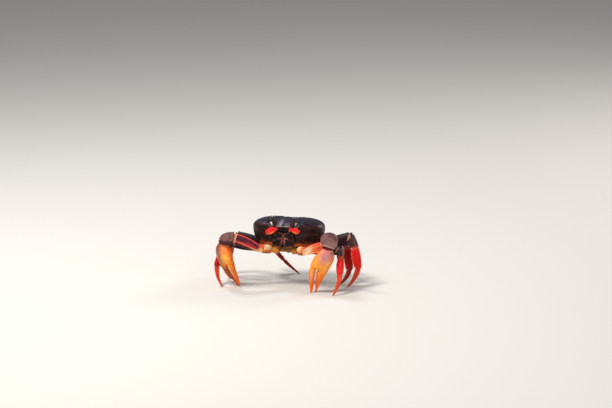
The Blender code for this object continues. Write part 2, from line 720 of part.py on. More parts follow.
corners = [vert.co for obj in crab.objects for vert in obj.data.vertices]
middle_x = (min(c.x for c in corners) + max(c.x for c in corners)) / 2
middle_y = (min(c.y for c in corners) + max(c.y for c in corners)) / 2
holder = bpy.data.objects.new("crab_centre", None)
holder.location = (-middle_x, -middle_y, 0)
crab.objects.link(holder)
for obj in crab.objects:
    if obj.type == "MESH":
        obj.parent = holder
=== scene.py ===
import math
import random

import bpy
import numpy as np
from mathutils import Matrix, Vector


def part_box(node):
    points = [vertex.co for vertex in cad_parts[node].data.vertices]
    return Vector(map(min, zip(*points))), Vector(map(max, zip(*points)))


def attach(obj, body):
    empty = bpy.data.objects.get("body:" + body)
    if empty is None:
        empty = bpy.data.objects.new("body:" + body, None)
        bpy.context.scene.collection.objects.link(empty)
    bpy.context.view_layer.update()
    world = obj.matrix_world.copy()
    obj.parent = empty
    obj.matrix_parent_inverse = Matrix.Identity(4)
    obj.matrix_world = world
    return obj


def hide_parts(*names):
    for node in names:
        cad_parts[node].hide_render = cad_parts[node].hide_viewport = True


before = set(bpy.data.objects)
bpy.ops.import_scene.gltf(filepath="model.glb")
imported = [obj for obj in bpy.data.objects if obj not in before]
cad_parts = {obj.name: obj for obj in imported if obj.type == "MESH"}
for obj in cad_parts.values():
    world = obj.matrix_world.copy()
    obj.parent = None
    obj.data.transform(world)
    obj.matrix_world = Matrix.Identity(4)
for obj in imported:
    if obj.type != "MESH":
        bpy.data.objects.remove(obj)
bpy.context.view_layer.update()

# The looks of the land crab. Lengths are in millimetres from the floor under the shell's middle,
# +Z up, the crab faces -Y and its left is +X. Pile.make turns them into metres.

MM = 0.001
BUMP_DEPTH = 0.12 * MM
UP = np.array((0.0, 0.0, 1.0))
BACK = np.array((0.0, 1.0, 0.0))
ACROSS = np.array((1.0, 0.0, 0.0))

# The camera, as in the photograph. The range and the aim are in metres, the lens in millimetres.
CAMERA_YAW = math.radians(15.0)
CAMERA_LIFT = math.radians(12.0)
CAMERA_RANGE = 3.83
AIM_RIGHT = 0.0177
AIM_UP = 0.0872
LENS = 200.0
SENSOR = 36.0
# The height in metres that the lights face, and their two tints.
LIGHT_AIM = 0.04
WARM_LIGHT = (1.0, 0.97, 0.92)
COOL_LIGHT = (0.95, 0.97, 1.0)

# The shell's plan and profile, the same as in the solids. Threes are for the side, front and rear.
SHELL_HALF_WIDTH = 40.5
SHELL_MIDDLE_Y = -5.0
SHELL_TOP = 74.4
SHELL_BASE = 44.6
FRONT_REACH, REAR_REACH = 25.5, 34.0
FRONT_POWER, REAR_POWER = 2.4, 2.2
BASE_SHARE = (0.68, 0.56, 0.78)
RIM = (64.0, 66.0, 50.0)
DOME_POWER = (2.8, 3.5, 2.0)
BASE_LATITUDE = math.radians(60)
REAR_MARGIN = 29.0

# The face.
ORBIT = (12.6, -29.6, 73.8)
ORBIT_HALF = (5.8, 5.2, 5.2)
STALK_ROOT = (10.0, -28.6, 68.6)
STALK_END = (12.0, -28.6, 76.6)
EYE_TOP = (12.6, -28.6, 81.0)
STALK_RADIUS = 2.2
ANTENNA_ROOT = (6.9, -28.6, 66.2)
ANTENNA_END = (8.4, -33.6, 64.6)
MOUTH = (0.0, -28.0, 54.2)
MOUTH_HALF = (13.4, 9.6)
MOUTH_LEAN = math.radians(-9)
PLATE_HALF = (5.8, 8.8)
PLATE_THICK = 3.4
PLATE_CENTRE = 6.7
PLATE_SPREAD = math.radians(8)
# The side of a plate from its root in the hollow to its face: each station on the way, with the
# share of the outline and of the thickness that it has there.
PLATE_PROFILE = ((0, 0.9, 0), (0.08, 0.97, 0.1), (0.25, 1.0, 0.34), (0.5, 0.99, 0.62), (0.7, 0.93, 0.82),
                 (0.85, 0.8, 0.93), (0.95, 0.55, 0.98), (1.0, 0.02, 1.0))
FEELER = (4.4, -28.2, 67.4)
FRONT_EDGE = 69.2
FRONT_HALF = 6.4
# The middle, slope, half length and half height of the red patch on each cheek, and the middle of
# the pale spot above it. 1 is the crab's left and -1 its right.
FACE_PATCH = {1: (12.3, 66.0, 0.36, 6.9, 3.4), -1: (13.6, 64.4, 0.42, 8.2, 3.7)}
SPOT_CENTRE = {1: (13.9, 73.6), -1: (14.6, 73.0)}
SCARS = ((20.0, -8.0, 73.2), (27.0, 6.0, 71.0), (9.5, -9.0, 74.2), (14.5, 16.0, 70.0))

# The underside.
GAP = 0.3
STERNUM_TOP = SHELL_BASE - GAP
STERNUM_EDGE = 38.6
STERNUM_BOTTOM = 37.6
STERNUM_FRONT = -21.5
STERNUM_REAR = 24.0
STERNUM_HALF_WIDTH = 20.5
STERNUM_SEAMS = ((-15.5, -0.25), (-9.0, -0.12), (-1.2, 0.0), (6.6, 0.14), (13.6, 0.3))
HIP_HEIGHT = 39.8
HIP_RADIUS = 3.4
CLAW_HIP_RADIUS = 3.6
ABDOMEN_PATH = np.array((
    (0, 26.6, STERNUM_TOP), (0, 26.6, 41.4), (0, 25.8, 38.6), (0, 22.6, 36.4), (0, 16.5, 36.0),
    (0, 10.0, 36.0), (0, 3.5, 36.0), (0, -2.8, 36.0), (0, -8.0, 36.0)))
ABDOMEN_WIDTHS = (12.5, 12.7, 12.4, 11.4, 9.4, 7.6, 6.4, 5.2, 2.4)

# The joints of each leg, hip first and foot last, as the crab stands.
LEGS = {
    "l2": ((27.5, -13.0, 39.5), (63.4, -22.6, 43.9), (66.6, -31.8, 36.6),
           (68.8, -43.6, 21.2), (63.7, -54.7, 0)),
    "l3": ((30.5, -3.0, 38.8), (71.5, -5.5, 55.2), (77.1, -8.0, 44.9),
           (80.9, -9.0, 21.7), (69.1, -10.6, 0)),
    "l4": ((27.5, 7.5, 39.5), (60.5, 18.0, 50.0), (64.6, 8.0, 39.8),
           (67.5, 4.0, 16.0), (57.0, 0.0, 0)),
    "l5": ((20.0, 18.5, 39.5), (44.0, 31.0, 46.0), (54.0, 36.0, 38.0),
           (59.5, 39.0, 20.0), (55.2, 41.4, 0)),
    "r2": ((-27.5, -13.0, 39.5), (-61.5, -21.0, 45.0), (-68.5, -29.0, 41.8),
           (-75.2, -37.0, 21.1), (-66.1, -45.7, 0)),
    "r3": ((-30.5, -3.0, 38.8), (-61.2, -8.1, 48.8), (-71.6, -8.8, 41.0),
           (-74.5, -10.7, 20.5), (-67.8, -5.2, 0)),
    "r4": ((-27.5, 7.5, 39.5), (-63.8, 13.4, 45.7), (-73.4, 13.6, 37.8),
           (-76.6, 14.0, 20.0), (-71.4, 21.5, 0)),
    "r5": ((-20.0, 18.5, 39.5), (-38.0, 35.5, 43.5), (-33.3, 39.0, 31.0),
           (-17.4, 38.0, 14.8), (0.4, 38.9, 0)),
}
LEG_GIRTH = {"2": 0.98, "3": 1.12, "4": 1.06, "5": 0.8}
# How much of its light each leg keeps, for those that stand in the shade of others.
LEG_SHADE = {"l2": 1.0, "l3": 1.0, "l4": 0.5, "l5": 0.8, "r2": 0.75, "r3": 0.8, "r4": 0.8, "r5": 0.5}
DARK_KNEES = ("l3", "l4")
TOE_BOW = 1.8
# The half height and half thickness of each leg segment: at its start, at its widest and at its end,
# and how far along it is widest. The last segment only tapers.
LEG_SIZES = {
    "merus": ((2.9, 5.4, 4.7, 0.62), (2.7, 3.3, 3.0, 0.5)),
    "carpus": ((3.9, 4.3, 3.7, 0.5), (2.8, 3.3, 2.8, 0.5)),
    "propodus": ((3.5, 4.4, 3.2, 0.45), (2.5, 3.0, 2.3, 0.4)),
}
TOE_SIZES = ((2.9, 0.75), (2.3, 0.75))
# The half sizes of the soft skin in the joints of a leg, by the number of the joint.
LEG_KNUCKLES = {1: (1.6, 2.4, 3.4), 2: (1.5, 2.0, 2.7), 3: (1.4, 1.9, 2.5)}
# The joints and ways of each claw, the half sizes of its segments, and where the two beaded lines
# of the arm run, in degrees from its top, with their widths.
CLAWS = {
    "l": {
        "hip": (15.5, -22.5, 41.0), "root": (23.5, -29.6, 42.8),
        "elbow": (49.8, -33.4, 51.3), "elbow_way": (0.8, -0.33, 0.5),
        "carpus": (55.2, -38.6, 57.8), "carpus_half": (9.5, 8.6, 9.5), "carpus_way": (0.966, 0.259, 0),
        "wrist": (53.8, -42.0, 50.2), "wrist_way": (-0.2, -0.35, -0.92), "wrist_half": (1.5, 6.0, 5.4),
        "arch": (0, -2.5, 0), "inner_tip": (36.2, -45.8, 0), "outer_tip": (40.7, -40.7, 0),
        "inward": (-0.966, -0.259, 0),
        "arm": (4.2, 5.4, 5.0), "crest": (20.0, 0.32), "margin": (138.0, 0.24),
    },
    "r": {
        "hip": (-15.5, -22.5, 41.0), "root": (-24.0, -29.8, 42.8),
        "elbow": (-54.7, -44.2, 56.7), "elbow_way": (-0.9, -0.37, 0.22),
        "carpus": (-54.4, -45.6, 51.6), "carpus_half": (15.4, 8.2, 11.8), "carpus_way": (-0.965, -0.261, 0),
        "wrist": (-63.2, -48.0, 51.0), "wrist_way": (-0.12, -0.04, -0.99), "wrist_half": (1.3, 5.0, 5.0),
        "arch": (-5.2, -1.4, 0), "inner_tip": (-49.3, -35.4, 0), "outer_tip": (-53.2, -31.8, 0),
        "inward": (0.866, -0.5, 0),
        "arm": (4.4, 6.3, 5.6), "crest": (9.0, 0.21), "margin": (98.0, 0.16),
    },
}
# The dimple on the left carpus, and how softly the edges of both are rounded where they are cut.
CARPUS_DIMPLE = np.array((3.4, -7.6, 5.0))
CUT_SOFT = 1.3
# How far from the wrist the fingers part, and where each finger is measured from.
SPLIT = 24.5
FIXED_START = SPLIT + 0.25
MOVING_START = FIXED_START + GAP
TEETH = 13
# The palm: how far it reaches inward, how far outward at the wrist and where it is widest, how far
# from the wrist that is, and its half thickness at the wrist and where it is thickest.
PALM_INNER = 11.5
PALM_OUTER = (7.2, 11.3)
PALM_WIDEST = 10
PALM_THICK = (4.4, 6.6)
# Each finger from root to tip: where its edges are across the claw, and its half thickness.
FIXED_INNER = (-3.1, 0.9)
FIXED_THICK = (5.2, 0.9)
MOVING_INNER = (-11.3, -4.4)
MOVING_OUTER = (-4.2, -2.6)
MOVING_THICK = (4.8, 0.85)
FINGER_ROOT_HALF = (2.4, 3.7, 4.3)
# The half height and half thickness of the segment beyond a claw limb's hip, and the half thickness
# of the arm beyond that, each at the start, the middle and the end.
ISCHIUM_SIZES = ((4.2, 5.0, 4.5), (3.6, 4.4, 4.0))
ARM_THICK = (3.9, 4.6, 3.9)
# The half sizes of the soft skin in the joints of a claw limb.
HIP_KNUCKLE = (1.2, 3.0, 3.2)
ROOT_KNUCKLE = (1.2, 3.2, 3.4)
ELBOW_KNUCKLE = (1.3, 3.4, 4.2)

# The hair, and the side of each hair's patch of the UV map.
BRISTLES = 150
FRINGE_HAIRS = 320
TUFT_PATCH = 0.003

shell_low, shell_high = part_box("carapace")
OFFSET = np.array(((shell_low[0] + shell_high[0]) / 2, shell_high[1] - REAR_MARGIN * MM, 0.0))
dice = random.Random(11)


def colour(code):
    """A colour as it shows on screen, in hex, turned into the renderer's linear values."""
    shown = np.array([*bytes.fromhex(code)]) / 255
    return np.where(shown < 0.04045, shown / 12.92, ((shown + 0.055) / 1.055) ** 2.4)


SHELL_BLUE = colour("17111f")
SHELL_BROWN = colour("25110d")
SHELL_TAN = colour("543022")
UNDER_BROWN = colour("9e3814")
BLACK = colour("0d0606")
ORBIT_DARK = colour("220e0e")
FACE_RED = colour("ee2c2a")
FACE_ORANGE = colour("f89632")
FACE_WHITE = colour("fff6de")
EDGE_HIGHLIGHT = colour("beafaa")
PINK = colour("e1a096")
MAUVE = colour("825854")
MAUVE_DARK = colour("4e2e30")
# A pale pink that rims and ridges have, also used as a painted highlight on edges and lips.
PINK_RIM_AND_HIGHLIGHT = colour("f0ac96")
MAROON = colour("421022")
CRIMSON = colour("d62830")
CLAW_ORANGE = colour("ff8a22")
CLAW_RED = colour("ee5824")
CLAW_PINK = colour("c6848c")
CREAM = colour("ffe8ba")
TIP_RED = colour("fa6820")
LEG_RED = colour("d00e0e")
LEG_LIGHT = colour("f44e3e")
LEG_DARK = colour("221113")
LEG_GREY = colour("523434")
TOE_ORANGE = colour("e03a1e")
HORN = colour("965428")
SPINE_PALE = colour("f0a46c")
STERNUM_OLIVE = colour("8c5424")
STERNUM_DARK = colour("4a2c16")
MEMBRANE = colour("e2a878")


def mix(a, b, share):
    return a + (b - a) * share


def ramp(low, high, x):
    """Rises from 0 at low to 1 at high with soft ends."""
    t = np.clip((x - low) / (high - low), 0, 1)
    return t * t * (3 - 2 * t)


def bump(x, centre, width):
    """1 at the centre, and falls off softly on both sides."""
    return np.exp(-((x - centre) / width) ** 2)


def patch(x, y, x_width, y_width):
    """1 where x and y are 0, and falls off softly all round."""
    return np.exp(-(x / x_width) ** 2 - (y / y_width) ** 2)


def arc(x):
    """Rises from 0 to 1 along a quarter circle."""
    return np.sqrt(1 - (1 - np.clip(x, 0, 1)) ** 2)


def quarter(x):
    """Rises from 0 to 1 along a quarter of a wave."""
    return np.sin(0.5 * math.pi * np.minimum(x, 1))


def stripes(phase, power=1):
    return np.maximum(0, np.sin(phase)) ** power


def unit(v):
    v = np.asarray(v, float)
    return v / np.linalg.norm(v, axis=-1, keepdims=True)


def mirrored(point, sign):
    return np.array((point[0] * sign, point[1], point[2]), float)


def waves(points, scale, seed, count=7):
    """Soft noise about 0, with features of about this scale, as a sum of waves."""
    rng = np.random.default_rng(seed)
    total = np.zeros(points.shape[:-1])
    for _ in range(count):
        way = unit(rng.normal(size=3)) * rng.uniform(0.6, 1.5)
        total += np.sin(points @ way * (math.tau / scale) + rng.uniform(0, 6.28))
    return total / count


def clouds(points, scale, seed, low, high):
    """Soft patches from 0 to 1, with more of them the lower the limits are."""
    return ramp(low, high, waves(points, scale, seed))


def grains(points, spacing, seed):
    """Scattered low bumps, from 0 to 1."""
    return ramp(0.12, 0.55, waves(points, spacing, seed, 6))


def blobs(points, centres, radius):
    """1 on each centre and 0 a radius or more away from all of them."""
    total = np.zeros(points.shape[:-1])
    for centre in centres:
        d = np.linalg.norm(points - np.asarray(centre), axis=-1) / radius
        total = np.maximum(total, np.clip(1 - d * d, 0, 1) ** 2)
    return total


def painted(paint, *coats):
    """Lays each tint over what is there, as strongly as its mask says."""
    for mask, tint in coats:
        paint = paint + (tint - paint) * np.clip(mask, 0, 1)[..., None]
    return paint


def superellipse(angle, half_u, half_v, power):
    """The outline of a rounded box section."""
    c, s = np.cos(angle), np.sin(angle)
    u = np.sign(c) * np.abs(c) ** (2 / power) * half_u
    v = np.sign(s) * np.abs(s) ** (2 / power) * half_v
    return u, v


def by_angle(values, columns):
    """A grid with a row for each value and columns that go once round."""
    return np.meshgrid(values, np.linspace(0, math.tau, columns, endpoint=False), indexing="ij")


def grid_normals(points):
    """The outward way at each point of a grid whose columns go once round."""
    along = np.gradient(points, axis=0)
    around = np.roll(points, -1, axis=1) - np.roll(points, 1, axis=1)
    normals = np.cross(around, along)
    normals = normals / np.maximum(np.linalg.norm(normals, axis=-1, keepdims=True), 1e-9)
    inward = ((points - points.mean(axis=(0, 1))) * normals).sum() < 0
    return -normals if inward else normals


def displaced(points, push):
    """Moves a grid's points outward by this much."""
    return points + grid_normals(points) * push[..., None]


def linked(name, data):
    piece = bpy.data.objects.new(name, data)
    bpy.context.scene.collection.objects.link(piece)
    return piece


class Pile:
    """Gathers closed grids of points with their paint and makes them one mesh."""

    def __init__(self, points=None, paint=None):
        self.points, self.paint, self.faces, self.spots = [], [], [], []
        self.count = 0
        if points is not None:
            self.add(points, paint)

    def add(self, points, paint, spot=None):
        """Adds a grid and closes its ends; a hair gets a small patch of the UV map at its spot."""
        rows, columns = points.shape[:2]
        if spot is not None:
            grid = np.meshgrid(np.linspace(-1, 1, rows), np.linspace(-1, 1, columns), indexing="ij")
            corners = np.concatenate((np.stack(grid, axis=-1).reshape(-1, 2), ((-1, 0), (1, 0))))
            self.spots.append(np.asarray(spot) + 0.5 * TUFT_PATCH * corners)
        tints = np.broadcast_to(paint, points.shape)
        self.points.append(points.reshape(-1, 3))
        self.paint.append(tints.reshape(-1, 3))
        ids = self.count + np.arange(rows * columns).reshape(rows, columns)
        after = np.roll(ids, -1, axis=1)
        quads = np.stack((ids[:-1], after[:-1], after[1:], ids[1:]), axis=-1).reshape(-1, 4)
        along = np.gradient(points, axis=0)[:, 0]
        way = np.cross(points[:, 1] - points[:, -1], along)
        flip = ((points[:, 0] - points.mean(axis=(0, 1))) * way).sum() < 0
        self.faces.extend((quads[:, ::-1] if flip else quads).tolist())
        self.count += rows * columns
        for row, turned_in in ((0, not flip), (rows - 1, flip)):
            self.points.append(points[row].mean(axis=0, keepdims=True))
            self.paint.append(tints[row].mean(axis=0, keepdims=True))
            edge = (after[row], ids[row]) if turned_in else (ids[row], after[row])
            self.faces.extend(np.stack((*edge, np.full(columns, self.count)), axis=-1).tolist())
            self.count += 1

    def make(self, name, material, slot, *nodes):
        points = np.concatenate(self.points) * MM + OFFSET
        mesh = bpy.data.meshes.new(name)
        mesh.from_pydata(points.tolist(), [], self.faces)
        mesh.validate()
        rgba = np.ones((len(points), 4), np.float32)
        rgba[:, :3] = np.clip(np.concatenate(self.paint), 0, 1)
        mesh.color_attributes.new("paint", "FLOAT_COLOR", "POINT").data.foreach_set("color", rgba.ravel())
        if self.spots:
            corners = np.empty(len(mesh.loops), np.int32)
            mesh.loops.foreach_get("vertex_index", corners)
            spots = np.concatenate(self.spots)[corners].astype(np.float32)
            mesh.uv_layers.new(name="OFBake").uv.foreach_set("vector", spots.ravel())
        mesh.shade_smooth()
        mesh.materials.append(material)
        piece = linked(name, mesh)
        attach(piece, "root")
        if nodes:
            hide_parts(*nodes)

    def dress(self, node, material, slot):
        """Makes the piece that stands in for one node of the solids."""
        self.make(node + "_skin", material, slot, node)


def chitin(name, roughness, grain, pits, mottle, coat, gloss=0.2):
    """Painted shell material with mottling, fine grain and small pits."""
    material = bpy.data.materials.new(name)
    material.use_nodes = True
    nodes, links = material.node_tree.nodes, material.node_tree.links
    shader = nodes["Principled BSDF"]
    place = nodes.new("ShaderNodeTexCoord").outputs["Object"]
    paint = nodes.new("ShaderNodeAttribute")
    paint.attribute_name = "paint"

    def made(kind, output, **inputs):
        """Adds a node with these numbers and links as its inputs, and gives one of its outputs."""
        node = nodes.new("ShaderNode" + kind)
        for key, value in inputs.items():
            socket = node.inputs[key.replace("_", " ")]
            if isinstance(value, bpy.types.NodeSocket):
                links.new(value, socket)
            else:
                socket.default_value = value
        return node.outputs[output]

    def spread(source, low, high, to_low, to_high):
        """Maps a value from one range to another."""
        return made("MapRange", "Result", Value=source, From_Min=low, From_Max=high,
                    To_Min=to_low, To_Max=to_high)

    def noise(size, detail, low, high):
        source = made("TexNoise", "Fac", Vector=place, Scale=size, Detail=detail, Roughness=0.6)
        return spread(source, 0.3, 0.7, low, high)

    def joined(kind, operation, first, second, key=1):
        node = nodes.new("ShaderNode" + kind)
        node.operation = operation
        links.new(first, node.inputs[0])
        links.new(second, node.inputs[key])
        return node.outputs[0]

    wide = noise(140, 4, 1 - mottle, 1 + mottle)
    fine = noise(900, 3, 1 - mottle * 0.5, 1 + mottle * 0.5)
    both = joined("Math", "MULTIPLY", wide, fine)
    shade = joined("VectorMath", "SCALE", paint.outputs["Color"], both, "Scale")
    links.new(shade, shader.inputs["Base Color"])
    links.new(noise(420, 4, roughness - 0.08, roughness + 0.14), shader.inputs["Roughness"])
    shader.inputs["Coat Weight"].default_value = coat
    shader.inputs["Coat Roughness"].default_value = 0.22
    shader.inputs["Specular IOR Level"].default_value = gloss

    pit = spread(made("TexVoronoi", "Distance", Vector=place, Scale=900), 0.0, 0.35, -pits, 0.0)
    height = joined("Math", "ADD", pit, noise(1800, 3, -grain, grain))
    relief = made("Bump", "Normal", Strength=0.5, Distance=BUMP_DEPTH, Height=height)
    links.new(relief, shader.inputs["Normal"])
    return material


SHELL_SKIN = chitin("shell_chitin", 0.34, 0.5, 1.0, 0.25, 0.06, 0.13)
LIMB_SKIN = chitin("limb_chitin", 0.38, 0.6, 0.8, 0.16, 0.04, 0.1)
CLAW_SKIN = chitin("claw_chitin", 0.40, 0.4, 0.9, 0.10, 0.12)
UNDER_SKIN = chitin("under_chitin", 0.50, 0.8, 0.4, 0.3, 0.05)
MOUTH_SKIN = chitin("mouth_chitin", 0.36, 0.6, 0.6, 0.25, 0.04, 0.1)
HAIR_SKIN = chitin("bristle", 0.55, 0.2, 0.0, 0.2, 0.0)
EYE_SKIN = chitin("cornea", 0.12, 0.0, 0.0, 0.05, 0.8)


def shell_points(turn, latitude):
    """The shell's surface at plan angles and latitudes, with the rim at latitude 0."""
    c, s = np.cos(turn), np.sin(turn)
    front = s < 0
    reach = np.where(front, FRONT_REACH, REAR_REACH)
    power = np.where(front, FRONT_POWER, REAR_POWER)
    radius = ((np.abs(c) / SHELL_HALF_WIDTH) ** power + (np.abs(s) / reach) ** power) ** (-1 / power)
    rim, dome, base = (mix(side, np.where(front, ahead, behind), s * s)
                       for side, ahead, behind in (RIM, DOME_POWER, BASE_SHARE))
    up = np.clip(latitude, 0, math.pi / 2)
    fall = np.clip(-latitude / BASE_LATITUDE, 0, 1) * math.pi / 2
    under = np.clip((-latitude - BASE_LATITUDE) / (math.pi / 2 - BASE_LATITUDE), 0, 1)
    share_up = np.maximum(np.cos(up), 0) ** (2 / dome)
    share_down = mix(base, 1.0, np.cos(fall)) * (1 - under)
    height_up = rim + (SHELL_TOP - rim) * np.sin(up) ** (2 / dome)
    height_down = rim - (rim - SHELL_BASE) * np.sin(fall)
    above = latitude >= 0
    share = np.where(above, share_up, share_down)
    height = np.where(above, height_up, height_down)
    return np.stack((c * radius * share, SHELL_MIDDLE_Y + s * radius * share, height), axis=-1)


def line_distance(x, y, nodes):
    """The distance from each place to a line through these points."""
    best = np.full(x.shape, 1e3)
    for (ax, ay), (bx, by) in zip(nodes, nodes[1:]):
        dx, dy = bx - ax, by - ay
        t = np.clip(((x - ax) * dx + (y - ay) * dy) / (dx * dx + dy * dy), 0, 1)
        best = np.minimum(best, np.hypot(x - ax - t * dx, y - ay - t * dy))
    return best


def carve_orbits(points, out, ahead):
    """Sinks the eye sockets into the shell; gives where they and their raised rims are."""
    sockets = np.zeros(ahead.shape)
    rims = np.zeros(ahead.shape)
    half = np.array(ORBIT_HALF)
    for sign in (1, -1):
        centre = mirrored(ORBIT, sign)
        rim = bump(np.linalg.norm((points - centre) / half, axis=-1), 1.1, 0.10) * ahead
        rims = np.maximum(rims, rim)
        points += out * (0.35 * rim)[..., None]
        local = (points - centre) / half
        way = unit((-0.25 * sign, 0.85, -0.45)) / half
        inside = 1 - (local ** 2).sum(-1)
        a, b = (way ** 2).sum(), (local * way).sum(-1)
        depth = (-b + np.sqrt(b * b + a * np.maximum(inside, 0))) / a
        depth = np.where(inside > 0, depth, 0) * ramp(0.0, 0.25, inside)
        points += (way * half) * depth[..., None]
        sockets = np.maximum(sockets, ramp(0.0, 0.2, inside))
    return sockets, rims


def carve_mouth(points, out, ahead):
    """Sinks the hollow that the mouthparts lie in, with its raised frame; gives where it is."""
    rise = points[..., 2] - MOUTH[2]
    across = (points[..., 0] - MOUTH[0]) / MOUTH_HALF[0]
    height = rise / math.cos(MOUTH_LEAN) / MOUTH_HALF[1]
    ring = (np.abs(across) ** 3.2 + np.abs(height) ** 3.2) ** (1 / 3.2)
    mouth = ramp(1.0, 0.93, ring) * ramp(-12, -18, points[..., 1])
    back_y = MOUTH[1] - rise * math.tan(MOUTH_LEAN)
    points[..., 1] += np.maximum(back_y - points[..., 1], 0) * mouth
    points += out * (0.45 * bump(ring, 1.06, 0.045) * ahead)[..., None]
    return mouth


def paint_face(paint, points, front, sockets):
    """The red cheeks with their orange lower edges, and the pale spots beside the eyes."""
    x, y, z = points[..., 0], points[..., 1], points[..., 2]
    ahead = np.maximum(sockets, ramp(-23.5, -25.5, y))
    for sign in (1, -1):
        side = x * sign
        wobble = 0.12 * waves(points, 3.2, 21 if sign > 0 else 22)
        patch_x, patch_z, fall, half_long, half_high = FACE_PATCH[sign]
        slant = z - patch_z + fall * (side - patch_x)
        length = side - patch_x - 0.25 * (z - patch_z)
        high = half_high * mix(0.72, 1.0, ramp(6, 14, side))
        ring = ((np.abs(length) / half_long) ** 2.5 + (np.abs(slant) / high) ** 2.5) ** 0.4 + wobble
        red = ramp(1.1, 0.86, ring) * front
        lower = ramp(0.35, 0.95, -slant / high) * ramp(9, 13, side) * red
        spot_x, spot_z = SPOT_CENTRE[sign]
        across = side - spot_x - 0.4 * (z - spot_z)
        spot = np.sqrt((across / 1.8) ** 2 + ((z - spot_z) / 3.3) ** 2) + wobble
        paint = painted(
            paint,
            (red, FACE_RED),
            (0.9 * lower, FACE_ORANGE),
            (ramp(1.2, 0.8, spot) * ahead, FACE_WHITE))
    return paint


